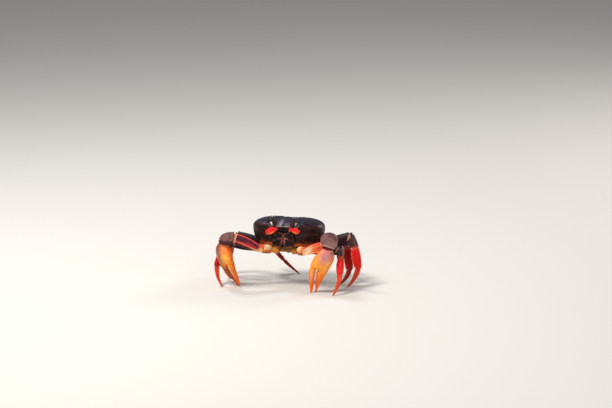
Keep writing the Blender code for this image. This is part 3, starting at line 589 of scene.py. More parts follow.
def make_carapace():
    rows, columns = 210, 440
    w = np.linspace(-1, 1, columns, endpoint=False)
    turn = -math.pi / 2 + math.pi * (w - 0.5 / math.pi * np.sin(math.pi * w))
    latitude = np.linspace(-math.pi / 2 + 0.004, math.pi / 2 - 0.004, rows)
    latitude, turn = np.meshgrid(latitude, turn, indexing="ij")
    base = shell_points(turn, latitude)
    out = grid_normals(base)
    x, y, z = base[..., 0], base[..., 1], base[..., 2]
    side = np.abs(x)
    dome = ramp(0.15, 0.5, latitude)
    front = ramp(-12, -20, y)
    rear = ramp(12, 22, y)

    # The grooves and low swellings that part the regions of the back.
    cervical = line_distance(side, y, ((19, -24), (16.5, -15), (13.5, -7), (8.5, -1), (3.5, 1.5), (0, 2)))
    heart = line_distance(side, y, ((8.5, -1), (7.2, 6), (8.6, 13), (11.5, 20)))
    gut = line_distance(side, y, ((0, 15.5), (5, 15.2), (8.2, 14)))
    lobes = line_distance(side, y, ((3.4, -3), (2.6, -10), (1.0, -17)))
    striae = stripes((side * 0.55 + y * 0.9) * 1.9 + waves(base, 12, 5), 5)
    striae = striae * ramp(24, 31, side) * ramp(-2, 6, y)
    push = dome * (
        0.5 * patch(side - 24, y + 2, 12, 17)
        + 0.35 * patch(side - 6, y + 18, 4.5, 6)
        - 0.95 * bump(cervical, 0, 1.4)
        - 0.75 * bump(heart, 0, 1.5)
        - 0.4 * bump(gut, 0, 1.0)
        - 0.3 * bump(lobes, 0, 0.8)
        + 0.05 * waves(base, 9.0, 3))
    push -= 0.55 * bump(x, 0, 0.7) * ramp(-6, -14, y) * ramp(66, 71, z)
    push += rear * (0.45 * bump(latitude, 0.05, 0.045) - 0.4 * bump(latitude, 0.2, 0.05))
    push += 0.10 * striae * ramp(0.1, 0.3, latitude) + 0.06 * grains(base, 1.3, 6) * ramp(17, 25, side)
    push += 0.03 * waves(base, 2.4, 4)

    # The fine raised line on each side behind the orbit, and slanting lines low on the flanks.
    flank_line = bump(z, mix(71.2, 66.5, ramp(18, 38, side)), 0.4) * ramp(18, 21, side) * ramp(8, -4, y)
    scratches = stripes((z * 0.9 + y * 0.55) * 2.6, 6)
    scratches = scratches * ramp(30, 36, side) * ramp(66, 60, z) * ramp(46, 50, z)
    push += 0.2 * flank_line * (0.7 + 0.3 * np.cos(turn * 150)) + 0.12 * scratches

    # The bent-down front ends in a thin raised edge, painted pale as a highlight, and the face falls back
    # below it.
    between = ramp(FRONT_HALF + 2.2, FRONT_HALF - 0.4, side) * front
    below = between * ramp(FRONT_EDGE + 0.2, FRONT_EDGE - 0.6, z) * ramp(56, 60, z)
    lobe = between * ramp(FRONT_EDGE - 0.4, FRONT_EDGE + 0.3, z) * ramp(76, 72, z)
    edge_line = between * bump(z, FRONT_EDGE + 0.25, 0.28)
    push += 0.4 * lobe * (1 - 0.8 * bump(x, 0, 1.2)) + 0.25 * edge_line - 1.7 * below
    points = base + out * push[..., None]
    sockets, rims = carve_orbits(points, out, ramp(-10, -16, y))
    mouth = carve_mouth(points, out, ramp(-14, -20, y) * (1 - between))

    # Blue-black above, brown-black on the flanks, orange-brown along the lower edge, with painted
    # highlights on the brow and along the front edge.
    regions = np.maximum(bump(cervical, 0, 2.4), bump(heart, 0, 2.2)) * dome
    freckles = grains(base, 2.1, 11) * ramp(16, 30, side) * ramp(0.2, 0.6, waves(base, 20, 12) + 0.4)
    scars = blobs(base, [mirrored(scar, sign) for sign in (1, -1) for scar in SCARS], 2.6)
    hem = ramp(52.3, 48.0, z + 2.0 * waves(base, 6, 13)) * mix(0.5, 0.9, ramp(10, -5, y))
    # The brow patch is a painted highlight: a pale lavender glare on the bent front between the eyes,
    # mostly on the crab's right.
    brow_glare = patch(x + 3.2, z - 72.4, 2.4, 2.0) + 0.3 * patch(x - 3.4, z - 71.6, 2.0, 1.6)
    warm_edge = ramp(50.8, 47.6, z + 1.8 * waves(base, 5, 14)) * front * ramp(8, 14, side)
    paint = painted(
        SHELL_BLUE,
        (0.5 * clouds(base, 9, 10, 0.0, 0.5) * dome, colour("221622")),
        (0.55 * regions, colour("08080c")),
        (0.95 * ramp(73.0, 68.5, z + waves(base, 16, 8)), SHELL_BROWN),
        (0.5 * flank_line, SHELL_TAN),
        (0.35 * striae * dome, SHELL_TAN),
        (0.35 * freckles, SHELL_TAN),
        (0.3 * scars, SHELL_TAN),
        (0.5 * clouds(base, 7, 9, -0.15, 0.6) * ramp(68, 60, z), SHELL_TAN),
        (hem, UNDER_BROWN),
        (ramp(46.0, 45.0, z), STERNUM_DARK),
        (front * ramp(15, 11, side) * ramp(FRONT_EDGE, FRONT_EDGE - 1, z), BLACK),
        (mouth, BLACK),
        (sockets, ORBIT_DARK),
        (0.6 * brow_glare * front, colour("9c8ea0")),
        (0.55 * warm_edge, colour("dc742c")),
        # The thin front edge is painted pale as a highlight.
        (0.9 * edge_line, EDGE_HIGHLIGHT),
        (0.5 * rims, colour("805854")))
    Pile(points, paint_face(paint, points, front, sockets)).dress("carapace", SHELL_SKIN, "shell")


def swell(start, middle, end, peak=0.5):
    """A size that swells from start to middle at the peak and falls to end."""
    def size(t):
        t = np.clip(t, 0, 1)
        rise = mix(start, middle, quarter(t / peak))
        fall = mix(middle, end, 1 - np.cos(0.5 * math.pi * np.maximum(t - peak, 0) / (1 - peak)))
        return np.where(t < peak, rise, fall)
    return size


def joint_normal(before, joint, after):
    """The normal of the plane that halves the bend at a joint."""
    return unit(unit(np.subtract(joint, before)) + unit(np.subtract(after, joint)))


def sheared(centre, along, offset, normal):
    """Moves places round a centre along the limb into the plane with this normal."""
    slide = -(offset * normal).sum(-1) / (normal * along).sum(-1)
    return centre + offset + along * slide[..., None]


class Limb:
    """A limb segment as a grid of t along it and an angle round it, as in the solids."""

    def __init__(self, start, end, start_normal, end_normal, thin_hint, high, thick, power=2.3, bow=0.0):
        self.start = np.asarray(start, float)
        self.chord = np.asarray(end, float) - self.start
        self.length = np.linalg.norm(self.chord)
        self.along = self.chord / self.length
        self.thin = unit(thin_hint - self.along * (thin_hint @ self.along))
        self.wide = unit(np.cross(self.along, self.thin))
        self.start_normal, self.end_normal = start_normal, end_normal
        self.high, self.thick, self.power, self.bow = high, thick, power, bow

    def centre(self, t):
        bow = self.wide * (self.bow * np.sin(math.pi * t))[..., None]
        return self.start + self.chord * t[..., None] + bow

    def grid(self, rows, columns, round_start=1.0, round_end=1.0):
        """Its skin as a grid, with the two ends rounded over these lengths in millimetres."""
        t = np.linspace(0, 1, rows)
        near = np.array((*(0.03 / self.length * np.array((0, 1, 3, 7))), t[1] * 0.5))
        t, angle = by_angle(np.unique(np.clip((*near, *t[1:-1], *(1 - near)), 0, 1)), columns)
        from_start, from_end = t * self.length, (1 - t) * self.length
        share = 0.45 + 0.55 * arc(from_start / round_start) * arc(from_end / round_end)
        reach = min(0.9 * self.length, 15.0)
        near_start = np.maximum(0, 1 - from_start / reach)[..., None]
        near_end = np.maximum(0, 1 - from_end / reach)[..., None]
        normal = self.along + (self.start_normal - self.along) * near_start
        normal = unit(normal + (self.end_normal - self.along) * near_end)
        u, v = superellipse(angle, self.high(t) * share, self.thick(t) * share, self.power)
        offset = self.wide * u[..., None] + self.thin * v[..., None]
        return t, angle, sheared(self.centre(t), self.along, offset, normal)

    def surface(self, t, angle):
        """A point on the segment's skin and the way out of it there."""
        t, angle = np.asarray(float(t)), np.asarray(float(angle))
        u, v = superellipse(angle, self.high(t), self.thick(t), self.power)
        out = unit(self.wide * (u / self.high(t) ** 2) + self.thin * (v / self.thick(t) ** 2))
        return self.centre(t) + self.wide * u + self.thin * v, out


def turned(angle, target):
    """How far an angle is from a target, from -pi to pi."""
    return (angle - target + math.pi) % math.tau - math.pi


def ridges(angle, width, *degrees):
    """1 along the lines at these angles round a limb and 0 away from them."""
    return np.max([bump(turned(angle, math.radians(line)), 0, width) for line in degrees], axis=0)


def beads(t, length, spacing, phase=0.0):
    """A row of rounded grains along a limb."""
    return np.maximum(0, np.cos(math.tau * (t * length / spacing + phase))) ** 0.7


def add_thorn(pile, root, way, length, radius, low, tip, curve, sides=6, spot=None):
    """A thorn that grows out of the skin and curves towards its tip."""
    way = unit(way)
    u = unit(np.cross(way, UP if abs(way[2]) < 0.8 else BACK))
    v = np.cross(way, u)
    steps = np.array((-0.35, 0.0, 0.28, 0.58, 0.82, 1.0))[:, None]
    widths = np.array((1.2, 1.0, 0.78, 0.52, 0.28, 0.06))[:, None, None] * radius
    angle = np.linspace(0, math.tau, sides, endpoint=False)[:, None]
    centre = root + way * (steps * length) + np.asarray(curve) * (np.maximum(steps, 0) ** 2 * length)
    points = centre[:, None] + (u * np.cos(angle) + v * np.sin(angle)) * widths
    pile.add(points, mix(low, tip, ramp(0.1, 0.7, steps)[..., None]), spot)


def ball(rows, columns, power, margin):
    """A grid of points on a rounded box of half size 1, with small holes at its poles."""
    latitude = np.linspace(margin - math.pi / 2, math.pi / 2 - margin, rows)
    latitude, turn = by_angle(latitude, columns)
    round_one = (np.cos(latitude) * np.cos(turn), np.cos(latitude) * np.sin(turn), np.sin(latitude))
    points = np.stack(round_one, axis=-1)
    return points * ((np.abs(points) ** power).sum(-1) ** (-1 / power))[..., None]


def add_ball(pile, centre, half, axes, paint, rows, columns, power=2.0):
    """A rounded body with these half sizes along three axes."""
    axes = np.array([unit(axis) for axis in axes])
    pile.add(centre + (ball(rows, columns, power, 0.02) * np.asarray(half)) @ axes, paint)


def knuckle(pile, joint, normal, thin, half, paint):
    """The soft skin that shows in the crease of a joint."""
    thin = unit(thin - normal * (thin @ normal))
    add_ball(pile, joint, half, (normal, thin, np.cross(normal, thin)), paint, 14, 20)


def hip_start(hip):
    """Where a hip leaves the middle of the body."""
    return np.array((hip[0] * 0.55, hip[1] * 0.85, HIP_HEIGHT))


class Leg:
    """A walking leg: its joints, the planes that part its segments, its girth and its light."""

    def __init__(self, name):
        self.name, self.girth, self.shade = name, LEG_GIRTH[name[1]], LEG_SHADE[name]
        self.joints = [np.array(joint, float) for joint in LEGS[name]]
        line = [hip_start(self.joints[0]), *self.joints]
        self.planes = [joint_normal(*line[i:i + 3]) for i in range(4)] + [-UP]
        hip, knee, foot = self.joints[0], self.joints[1], self.joints[4]
        self.hinge = unit(np.cross(knee - hip, foot - knee))

    def limb(self, i, high, thick):
        """The segment after joint i, placed as in the solids."""
        last = i == 3
        start = self.joints[i] + self.planes[i] * GAP / 2
        end = self.joints[i + 1] - self.planes[i + 1] * (0 if last else GAP / 2)
        bow = TOE_BOW if last else 0.0
        return Limb(start, end, self.planes[i], self.planes[i + 1], self.hinge,
                    lambda t: high(t) * self.girth, lambda t: thick(t) * self.girth, bow=bow)

    def add_knuckle(self, pile, i, limb, tint):
        half = np.array(LEG_KNUCKLES[i]) * self.girth
        knuckle(pile, self.joints[i], self.planes[i], limb.thin, half, tint * self.shade)

    def add_thorns(self, pile, limb, degrees, offset, lean, spacing, span, jitter, sizes, growth,
                   length, radius, tint, bend):
        """A row of thorns along the segment at this angle round it."""
        count = int(limb.length / spacing)
        for i in range(count):
            share = mix(*span, (i + offset) / count)
            root, out = limb.surface(share, math.radians(degrees + dice.uniform(-jitter, jitter)))
            size = self.girth * dice.uniform(*sizes) * mix(*growth, share)
            add_thorn(pile, root, out + limb.along * lean, length * size, radius * size, tint * self.shade,
                      SPINE_PALE * self.shade, limb.along * bend)

    def dress(self, part, pile, slot):
        pile.dress("leg_%s_%s" % (self.name, part), LIMB_SKIN, slot)


# The rows of thorns: the angle round the segment, the first thorn's offset and the lean along the leg.
PROPODUS_ROWS = ((168, 0.5, 0.8), (192, 0.5, 0.8), (148, 0.5, 0.7), (212, 0.5, 0.7),
                 (14, 0, 0.8), (-14, 0, 0.8))
PROPODUS_THORNS = dict(spacing=1.75, span=(0.14, 0.97), jitter=3, sizes=(0.75, 1.15), growth=(0.8, 1.25),
                       length=0.95, radius=0.3, tint=LEG_LIGHT, bend=0.25)
DACTYL_ROWS = (38, 90, 142, 218, 270, 322)
DACTYL_THORNS = dict(spacing=1.5, span=(0.05, 0.86), jitter=4, sizes=(0.8, 1.2), growth=(1.1, 0.6),
                     length=1.15, radius=0.32, tint=TOE_ORANGE, bend=0.3)


def facing(angle, target):
    """1 where the skin faces this way round the limb and -1 where it faces the other way."""
    return np.cos(angle - target)


def upper_angle(limb):
    """The angle round a limb, in degrees, of its uppermost line."""
    return math.degrees(math.atan2(limb.thin[2], limb.wide[2]))


def make_leg_merus(leg):
    limb = leg.limb(0, *(swell(*size) for size in LEG_SIZES["merus"]))
    t, angle, points = limb.grid(110, 72, 0.8, 1.0)
    top = upper_angle(limb)
    upper, lower = ridges(angle, 0.16, top), ridges(angle, 0.2, top + 150, top - 150)
    faces = 1 - np.maximum(upper, lower)
    wrinkles = t * limb.length * math.tau / 1.7 + 1.5 * np.sin(angle * 3) + 2.2 * waves(points, 5, 31)
    rugae = stripes(wrinkles, 4) * faces
    lip = bump(t, 0.965, 0.022)
    push = upper * (0.25 + 0.3 * beads(t, limb.length, 1.0))
    push += lower * (0.12 + 0.2 * beads(t, limb.length, 1.3))
    push += 0.12 * rugae + 0.12 * lip - 0.15 * bump(t, 0.91, 0.02) + 0.05 * waves(points, 2.2, 32)
    points = displaced(points, push * leg.girth)
    high = facing(angle, math.radians(top))
    front = ramp(0.3, 0.9, facing(angle, math.atan2(-limb.thin[1], -limb.wide[1])))
    paint = painted(
        LEG_DARK,
        (0.75 * ramp(0.1, -0.8, high), MAROON),
        (0.55 * rugae, MAUVE_DARK),
        # The navy patches on the upper side are a painted sky reflection.
        (0.5 * clouds(points, 6, 33, 0.0, 0.5) * ramp(0.4, 0.9, high), SHELL_BLUE),
        # The pale pink lip at the front of the knee is its joint margin, painted lighter as a highlight.
        (0.8 * lip * front * ramp(-0.5, 0.3, high), PINK_RIM_AND_HIGHLIGHT),
        (0.8 * ramp(0.1, 0.0, t), CREAM * 0.8))
    pile = Pile(points, paint * leg.shade)
    leg.add_knuckle(pile, 1, limb, MEMBRANE * 0.7)
    leg.dress("merus", pile, "leg_dark")


def make_leg_carpus(leg):
    limb = leg.limb(1, *(swell(*size) for size in LEG_SIZES["carpus"]))
    t, angle, points = limb.grid(60, 72, 1.4, 1.0)
    top = upper_angle(limb)
    keels, hollow = ridges(angle, 0.14, top + 26, top - 30), ridges(angle, 0.2, top - 2)
    push = keels * (0.3 + 0.22 * beads(t, limb.length, 1.0)) - 0.25 * hollow
    push += 0.14 * grains(points, 1.3, 34) + 0.3 * bump(t, 0.94, 0.03)
    points = displaced(points, push * leg.girth)
    high = facing(angle, math.radians(top))
    dark = leg.name in DARK_KNEES
    paint = painted(
        LEG_GREY,
        (0.7 * hollow, LEG_DARK),
        (0.7 * ramp(0.2, -0.6, high), MAROON),
        (0.2 * keels * ramp(0.2, 0.6, t), PINK_RIM_AND_HIGHLIGHT),
        (0.5 * clouds(points, 5, 38, 0.1, 0.5), colour("705458")),
        (0.35 * dark, LEG_DARK),
        (0.85 * ramp(0.8 if dark else 0.66, 0.96, t + 0.05 * waves(points, 4, 39)), colour("ce4a38")))
    pile = Pile(points, paint * leg.shade)
    leg.add_knuckle(pile, 2, limb, MEMBRANE)
    leg.dress("carpus", pile, "leg_dark")


def make_leg_propodus(leg):
    limb = leg.limb(2, *(swell(*size) for size in LEG_SIZES["propodus"]))
    t, angle, points = limb.grid(96, 72, 1.0, 1.7)
    keels = ridges(angle, 0.12, 62, -62, 118, -118)
    push = 0.3 * ridges(angle, 0.16, 0, 180) + keels * (0.14 + 0.16 * beads(t, limb.length, 1.1))
    push += 0.13 * grains(points, 1.2, 35) * (1 - keels) - 0.3 * ramp(0.84, 1.0, t)
    points = displaced(points, push * leg.girth)
    paint = painted(
        LEG_RED,
        (0.85 * ramp(0.12, 0.0, t), CLAW_RED),
        (0.3 * keels, LEG_LIGHT),
        (0.2 * grains(points, 1.2, 35), LEG_LIGHT),
        (0.35 * clouds(points, 7, 36, 0.0, 0.4), CRIMSON),
        (0.7 * ramp(0.9, 1.0, t), TOE_ORANGE))
    pile = Pile(points, paint * leg.shade)
    for degrees, offset, lean in PROPODUS_ROWS:
        leg.add_thorns(pile, limb, degrees, offset, lean, **PROPODUS_THORNS)
    leg.add_knuckle(pile, 3, limb, colour("aa3824"))
    leg.dress("propodus", pile, "leg_red")


def make_leg_dactyl(leg):
    high, thick = TOE_SIZES
    limb = leg.limb(3, lambda t: mix(*high, t ** 0.95), lambda t: mix(*thick, t ** 0.95))
    t, angle, points = limb.grid(110, 56, 1.5, 0.25)
    keels = ridges(angle, 0.22, *DACTYL_ROWS)
    fade = ramp(1.0, 0.8, t)
    push = (0.2 * keels - 0.08 * (1 - keels)) * fade + 0.03 * waves(points, 1.4, 37)
    points = displaced(points, push * leg.girth)
    points[..., 2] = np.maximum(points[..., 2], 0.0)
    paint = painted(
        TOE_ORANGE,
        (0.8 * ramp(0.35, 0.0, t), LEG_RED),
        (0.25 * keels * fade, LEG_LIGHT),
        (0.9 * ramp(0.78, 0.93, t), HORN),
        (0.8 * ramp(0.93, 1.0, t), CREAM * 0.55))
    pile = Pile(points, paint * leg.shade)
    for row, degrees in enumerate(DACTYL_ROWS):
        leg.add_thorns(pile, limb, degrees, 0.5 * (row % 2), 0.75, **DACTYL_THORNS)
    leg.dress("dactyl", pile, "toe")


def make_legs():
    for name in LEGS:
        leg = Leg(name)
        make_leg_merus(leg)
        make_leg_carpus(leg)
        make_leg_propodus(leg)
        make_leg_dactyl(leg)


def palm_edges(s):
    """The inner and outer edge of the claw, s along it from the wrist."""
    inner = -PALM_INNER * quarter((s + 7.0) / 29.0)
    near = mix(*PALM_OUTER, quarter(s / PALM_WIDEST))
    far = PALM_OUTER[1] - 9.4 * (np.maximum(s - PALM_WIDEST, 0) / 40) ** 1.25
    return inner, np.where(s < PALM_WIDEST, near, far)


class Hand:
    """The frame that the palm and both fingers of a claw are drawn in."""

    def __init__(self, claw):
        self.wrist_way = unit(claw["wrist_way"])
        self.inner_tip, self.outer_tip = np.array((claw["inner_tip"], claw["outer_tip"]), float)
        middle = (self.inner_tip + self.outer_tip) / 2
        self.way = unit(middle - np.array(claw["wrist"]))
        inward = np.array(claw["inward"], float)
        self.inward = unit(inward - self.way * (inward @ self.way))
        face = unit(np.cross(self.inward, self.way))
        self.face = -face if face[1] > 0 else face
        self.wrist = np.array(claw["wrist"]) + self.wrist_way * GAP / 2
        self.reach = np.linalg.norm(middle - self.wrist)
        self.arch = np.array(claw["arch"], float)

    def station(self, tip):
        """How far along the claw a tip is."""
        return (tip - self.wrist) @ self.way

    def centre(self, s, across):
        """A point s along the claw and this far inward from its line."""
        bow = np.sin(math.pi * np.minimum(1.0, s / self.reach))[..., None]
        return self.wrist + self.way * s[..., None] + self.inward * across[..., None] + self.arch * bow

    def line(self, tip, s, middle, t):
        """The middle line of a finger, drawn to its tip as t nears 1."""
        pull = (t ** 3)[..., None]
        past = (s - self.station(tip))[..., None]
        return self.centre(s, -middle) * (1 - pull) + (tip + self.way * past) * pull

    def fixed_finger(self, t):
        """The middle line and the half width of the fixed finger at t."""
        s = mix(FIXED_START, self.station(self.outer_tip), t)
        inner, outer = mix(*FIXED_INNER, t), palm_edges(s)[1]
        return self.line(self.outer_tip, s, (inner + outer) / 2, t), np.maximum(0.9, (outer - inner) / 2)

    def moving_finger(self, t):
        """The middle line and the half width of the moving finger at t."""
        s = mix(MOVING_START, self.station(self.inner_tip), t)
        inner, outer = mix(*MOVING_INNER, t ** 1.9), mix(*MOVING_OUTER, t)
        return self.line(self.inner_tip, s, (inner + outer) / 2, t), np.maximum(0.85, (outer - inner) / 2)

    def skin(self, centre, normal, t, angle, half_wide, half_thin, power):
        """Rings of skin round a line, which lie flat on the floor at the tip."""
        normal = unit(mix(normal, -UP, (t ** 3)[..., None]))
        u, v = superellipse(angle, half_wide, half_thin, power)
        offset = self.inward * u[..., None] + self.face * v[..., None]
        return sheared(centre, self.way, offset, normal)

    def add_teeth(self, pile, finger, way, offset):
        """The blunt teeth in the gap between the fingers, larger in the middle."""
        axes = (way, self.way, self.face)
        for i in range(TEETH):
            t = np.array(mix(0.12, 0.9, (i + offset) / TEETH))
            centre, half_wide = finger(t)
            size = (1.15 if i % 4 == 1 else 0.72) * mix(1.0, 0.55, t) * dice.uniform(0.85, 1.15)
            root = centre + way * (half_wide - 0.45) + self.face * dice.uniform(-0.3, 0.3)
            half = size * np.array((0.95, 1.0, 0.9))
            add_ball(pile, root, half, axes, mix(CREAM, CLAW_ORANGE, 0.25), 10, 14)


def claw_tone(s, front, across, pink, flush=0.75):
    """The claw's colours from its pink root over orange to the red tips."""
    return painted(
        CLAW_ORANGE,
        (0.8 * ramp(20, 44, s), TIP_RED),
        (ramp(13, 2, s) * flush, mix(CLAW_RED, CLAW_PINK, 0.35)),
        (0.7 * bump(s, 19, 9) * ramp(0.0, 0.6, front), colour("ffac30")),
        (1.25 * patch(across - 0.2, s - 8.5, 6.0, 7.4) * ramp(-0.2, 0.5, front) * pink, CLAW_PINK),
        (patch(across + 5.5, s - 2.5, 3.5, 3.5) * pink, MAUVE),
        (0.3 * ramp(2.6, 0.4, s), CREAM))


def make_palm(side, hand):
    """The palm with its fixed finger, as one skin from wrist to tip."""
    left = side == "l"
    end = hand.station(hand.outer_tip)
    s, angle = by_angle((0.0, 0.02, 0.08, 0.2, 0.4, 0.65, *np.linspace(0.95, end, 250)), 104)
    t = np.clip((s - SPLIT) / (end - SPLIT), 0, 1)
    inner, outer = palm_edges(s)
    inner = mix(inner, mix(*FIXED_INNER, t), ramp(SPLIT - 0.7, SPLIT + 0.3, s))
    rounding = np.minimum(1.0, 0.82 + 0.18 * s / 4) * (0.5 + 0.5 * arc(s / 1.6))
    half_wide = np.maximum((outer - inner) / 2, 0.9) * rounding
    palm_thin = mix(*PALM_THICK, quarter(s / 13)) - np.maximum(0.0, s - 16) * 0.11
    half_thin = mix(palm_thin, mix(*FIXED_THICK, t ** 0.9), ramp(SPLIT - 3, SPLIT + 1, s)) * rounding
    normal = unit(mix(hand.wrist_way, hand.way, np.minimum(1.0, s / 13)[..., None]))
    centre = hand.line(hand.outer_tip, s, (inner + outer) / 2, t)
    points = hand.skin(centre, normal, t, angle, half_wide, half_thin, 2.3)

    out_edge, in_edge = ridges(angle, 0.28, 180), ridges(angle, 0.3, 0)
    fade = ramp(1.0, 0.85, t)
    finger = ramp(SPLIT - 6, SPLIT + 3, s) * fade
    hollows = np.maximum(ridges(angle, 0.13, 128, -128), ridges(angle, 0.12, 52, -52)) * finger
    pits = hollows * stripes(s * math.tau / 2.1, 3)
    scallop = out_edge * stripes(s * math.tau / 2.4) * ramp(3, 8, s) * fade
    push = (0.05 if left else 0.28) * scallop - 0.32 * hollows - 0.14 * pits
    push += 0.35 * bump(s, 2.2, 0.7) - 0.3 * bump(s, 3.8, 0.7) + 0.25 * in_edge * bump(s, 14, 6)
    push += 0.10 * waves(points, 4.5, 41) + 0.05 * grains(points, 1.3, 42) * (1 - finger)
    points = displaced(points, push)
    points[..., 2] = np.maximum(points[..., 2], 0.0)

    inward, front = np.cos(angle), np.sin(angle)
    paint = claw_tone(s, front, inward * half_wide, 0.8 if left else 0.25, 0.75 if left else 0.4)
    paint = painted(paint, (0.7 * in_edge * ramp(2, 6, s) * ramp(26, 18, s), CLAW_RED))
    if not left:
        # Painted shade on the right claw: its outer side turns brown, most near the wrist, and the fixed
        # finger is darkened.
        outer_shade = ramp(-0.4, 0.25, -inward) * ramp(52, 12, s + 2 * waves(points, 8, 46))
        # A painted highlight: a bright yellow patch on the front of the right palm.
        yellow_highlight = patch(turned(angle, math.radians(58)), s - 15, 0.55, 6.5) * clouds(points, 6, 47, -0.5, 0.3)
        paint = painted(
            paint,
            (0.9 * outer_shade, colour("70382a")),
            (0.4 * ramp(6, 1, s) * ramp(0.7, -0.2, inward), colour("8c4c3c")),
            (0.7 * ramp(SPLIT - 1, SPLIT + 7, s) * ramp(0.9, 0.55, t), colour("70301a")),
            (0.6 * yellow_highlight, colour("ffc454")))
    gleam = np.maximum(ridges(angle, 0.16, 62), ridges(angle, 0.2, 118)) * ramp(8, 13, s) * ramp(34, 24, s)
    # A painted highlight: cream along the fixed finger's inner edge, in the gap between the fingers.
    gap_highlight = in_edge * ramp(SPLIT + 1, SPLIT + 4, s) * ramp(1, 0.8, t)
    paint = painted(
        paint,
        ((0.3 if left else 0.6) * gleam * clouds(points, 7, 43, -0.25, 0.35), CREAM),
        ((0.85 if left else 0.2) * gap_highlight, CREAM),
        ((0.2 if left else 0.8) * scallop, CLAW_RED * 0.5),
        (0.15 * pits, CLAW_RED * 0.6),
        (0.35 * grains(points, 2.6, 44), CLAW_RED),
        (0.5 * ramp(0.95, 1.0, t), HORN))
    pile = Pile(points, paint)
    hand.add_teeth(pile, hand.fixed_finger, hand.inward, 0.0)
    pile.dress("claw_%s_palm" % side, CLAW_SKIN, "claw")


def make_moving_finger(side, hand):
    t, angle = by_angle((0.0, 0.0008, 0.003, 0.007, *np.linspace(0.013, 1, 150)), 88)
    centre, half_wide = hand.moving_finger(t)
    rounding = 0.93 + 0.07 * arc(t / 0.06)
    half_thin = mix(*MOVING_THICK, t ** 0.95) * rounding
    points = hand.skin(centre, hand.way, t, angle, half_wide * rounding, half_thin, 2.2)
    s = mix(SPLIT, hand.station(hand.inner_tip), t)
    fade = ramp(1.0, 0.85, t) * ramp(0.02, 0.12, t)
    hollows = ridges(angle, 0.16, 128, 52, -128, -52) * fade
    pits = hollows * stripes(s * math.tau / 2.0, 3)
    back_edge = ridges(angle, 0.3, 0)
    push = back_edge * (0.15 + 0.3 * stripes(s * math.tau / 1.6)) * ramp(0.6, 0.1, t) * fade
    push += 0.04 * waves(points, 3, 45) - 0.3 * hollows - 0.12 * pits
    points = displaced(points, push)
    points[..., 2] = np.maximum(points[..., 2], 0.0)
    paint = painted(
        claw_tone(s, np.sin(angle), np.cos(angle) * half_wide, 0.5),
        # A painted highlight: a cream band down the front of the moving finger, fading towards the tip.
        (0.4 * ridges(angle, 0.35, 80) * fade * ramp(0.7, 0.3, t), CREAM),
        (0.5 * back_edge * ramp(0.8, 0.1, t), CLAW_RED),
        (0.15 * pits, CLAW_RED * 0.6),
        (0.5 * ramp(0.95, 1.0, t), HORN))
    pile = Pile(points, paint)
    hand.add_teeth(pile, hand.moving_finger, -hand.inward, 0.5)
    root = hand.centre(np.array(SPLIT - 0.3), np.array(7.4))
    axes = (hand.way, hand.inward, hand.face)
    add_ball(pile, root, FINGER_ROOT_HALF, axes, CLAW_ORANGE * 0.9, 16, 24)
    pile.dress("claw_%s_dactyl" % side, CLAW_SKIN, "claw")


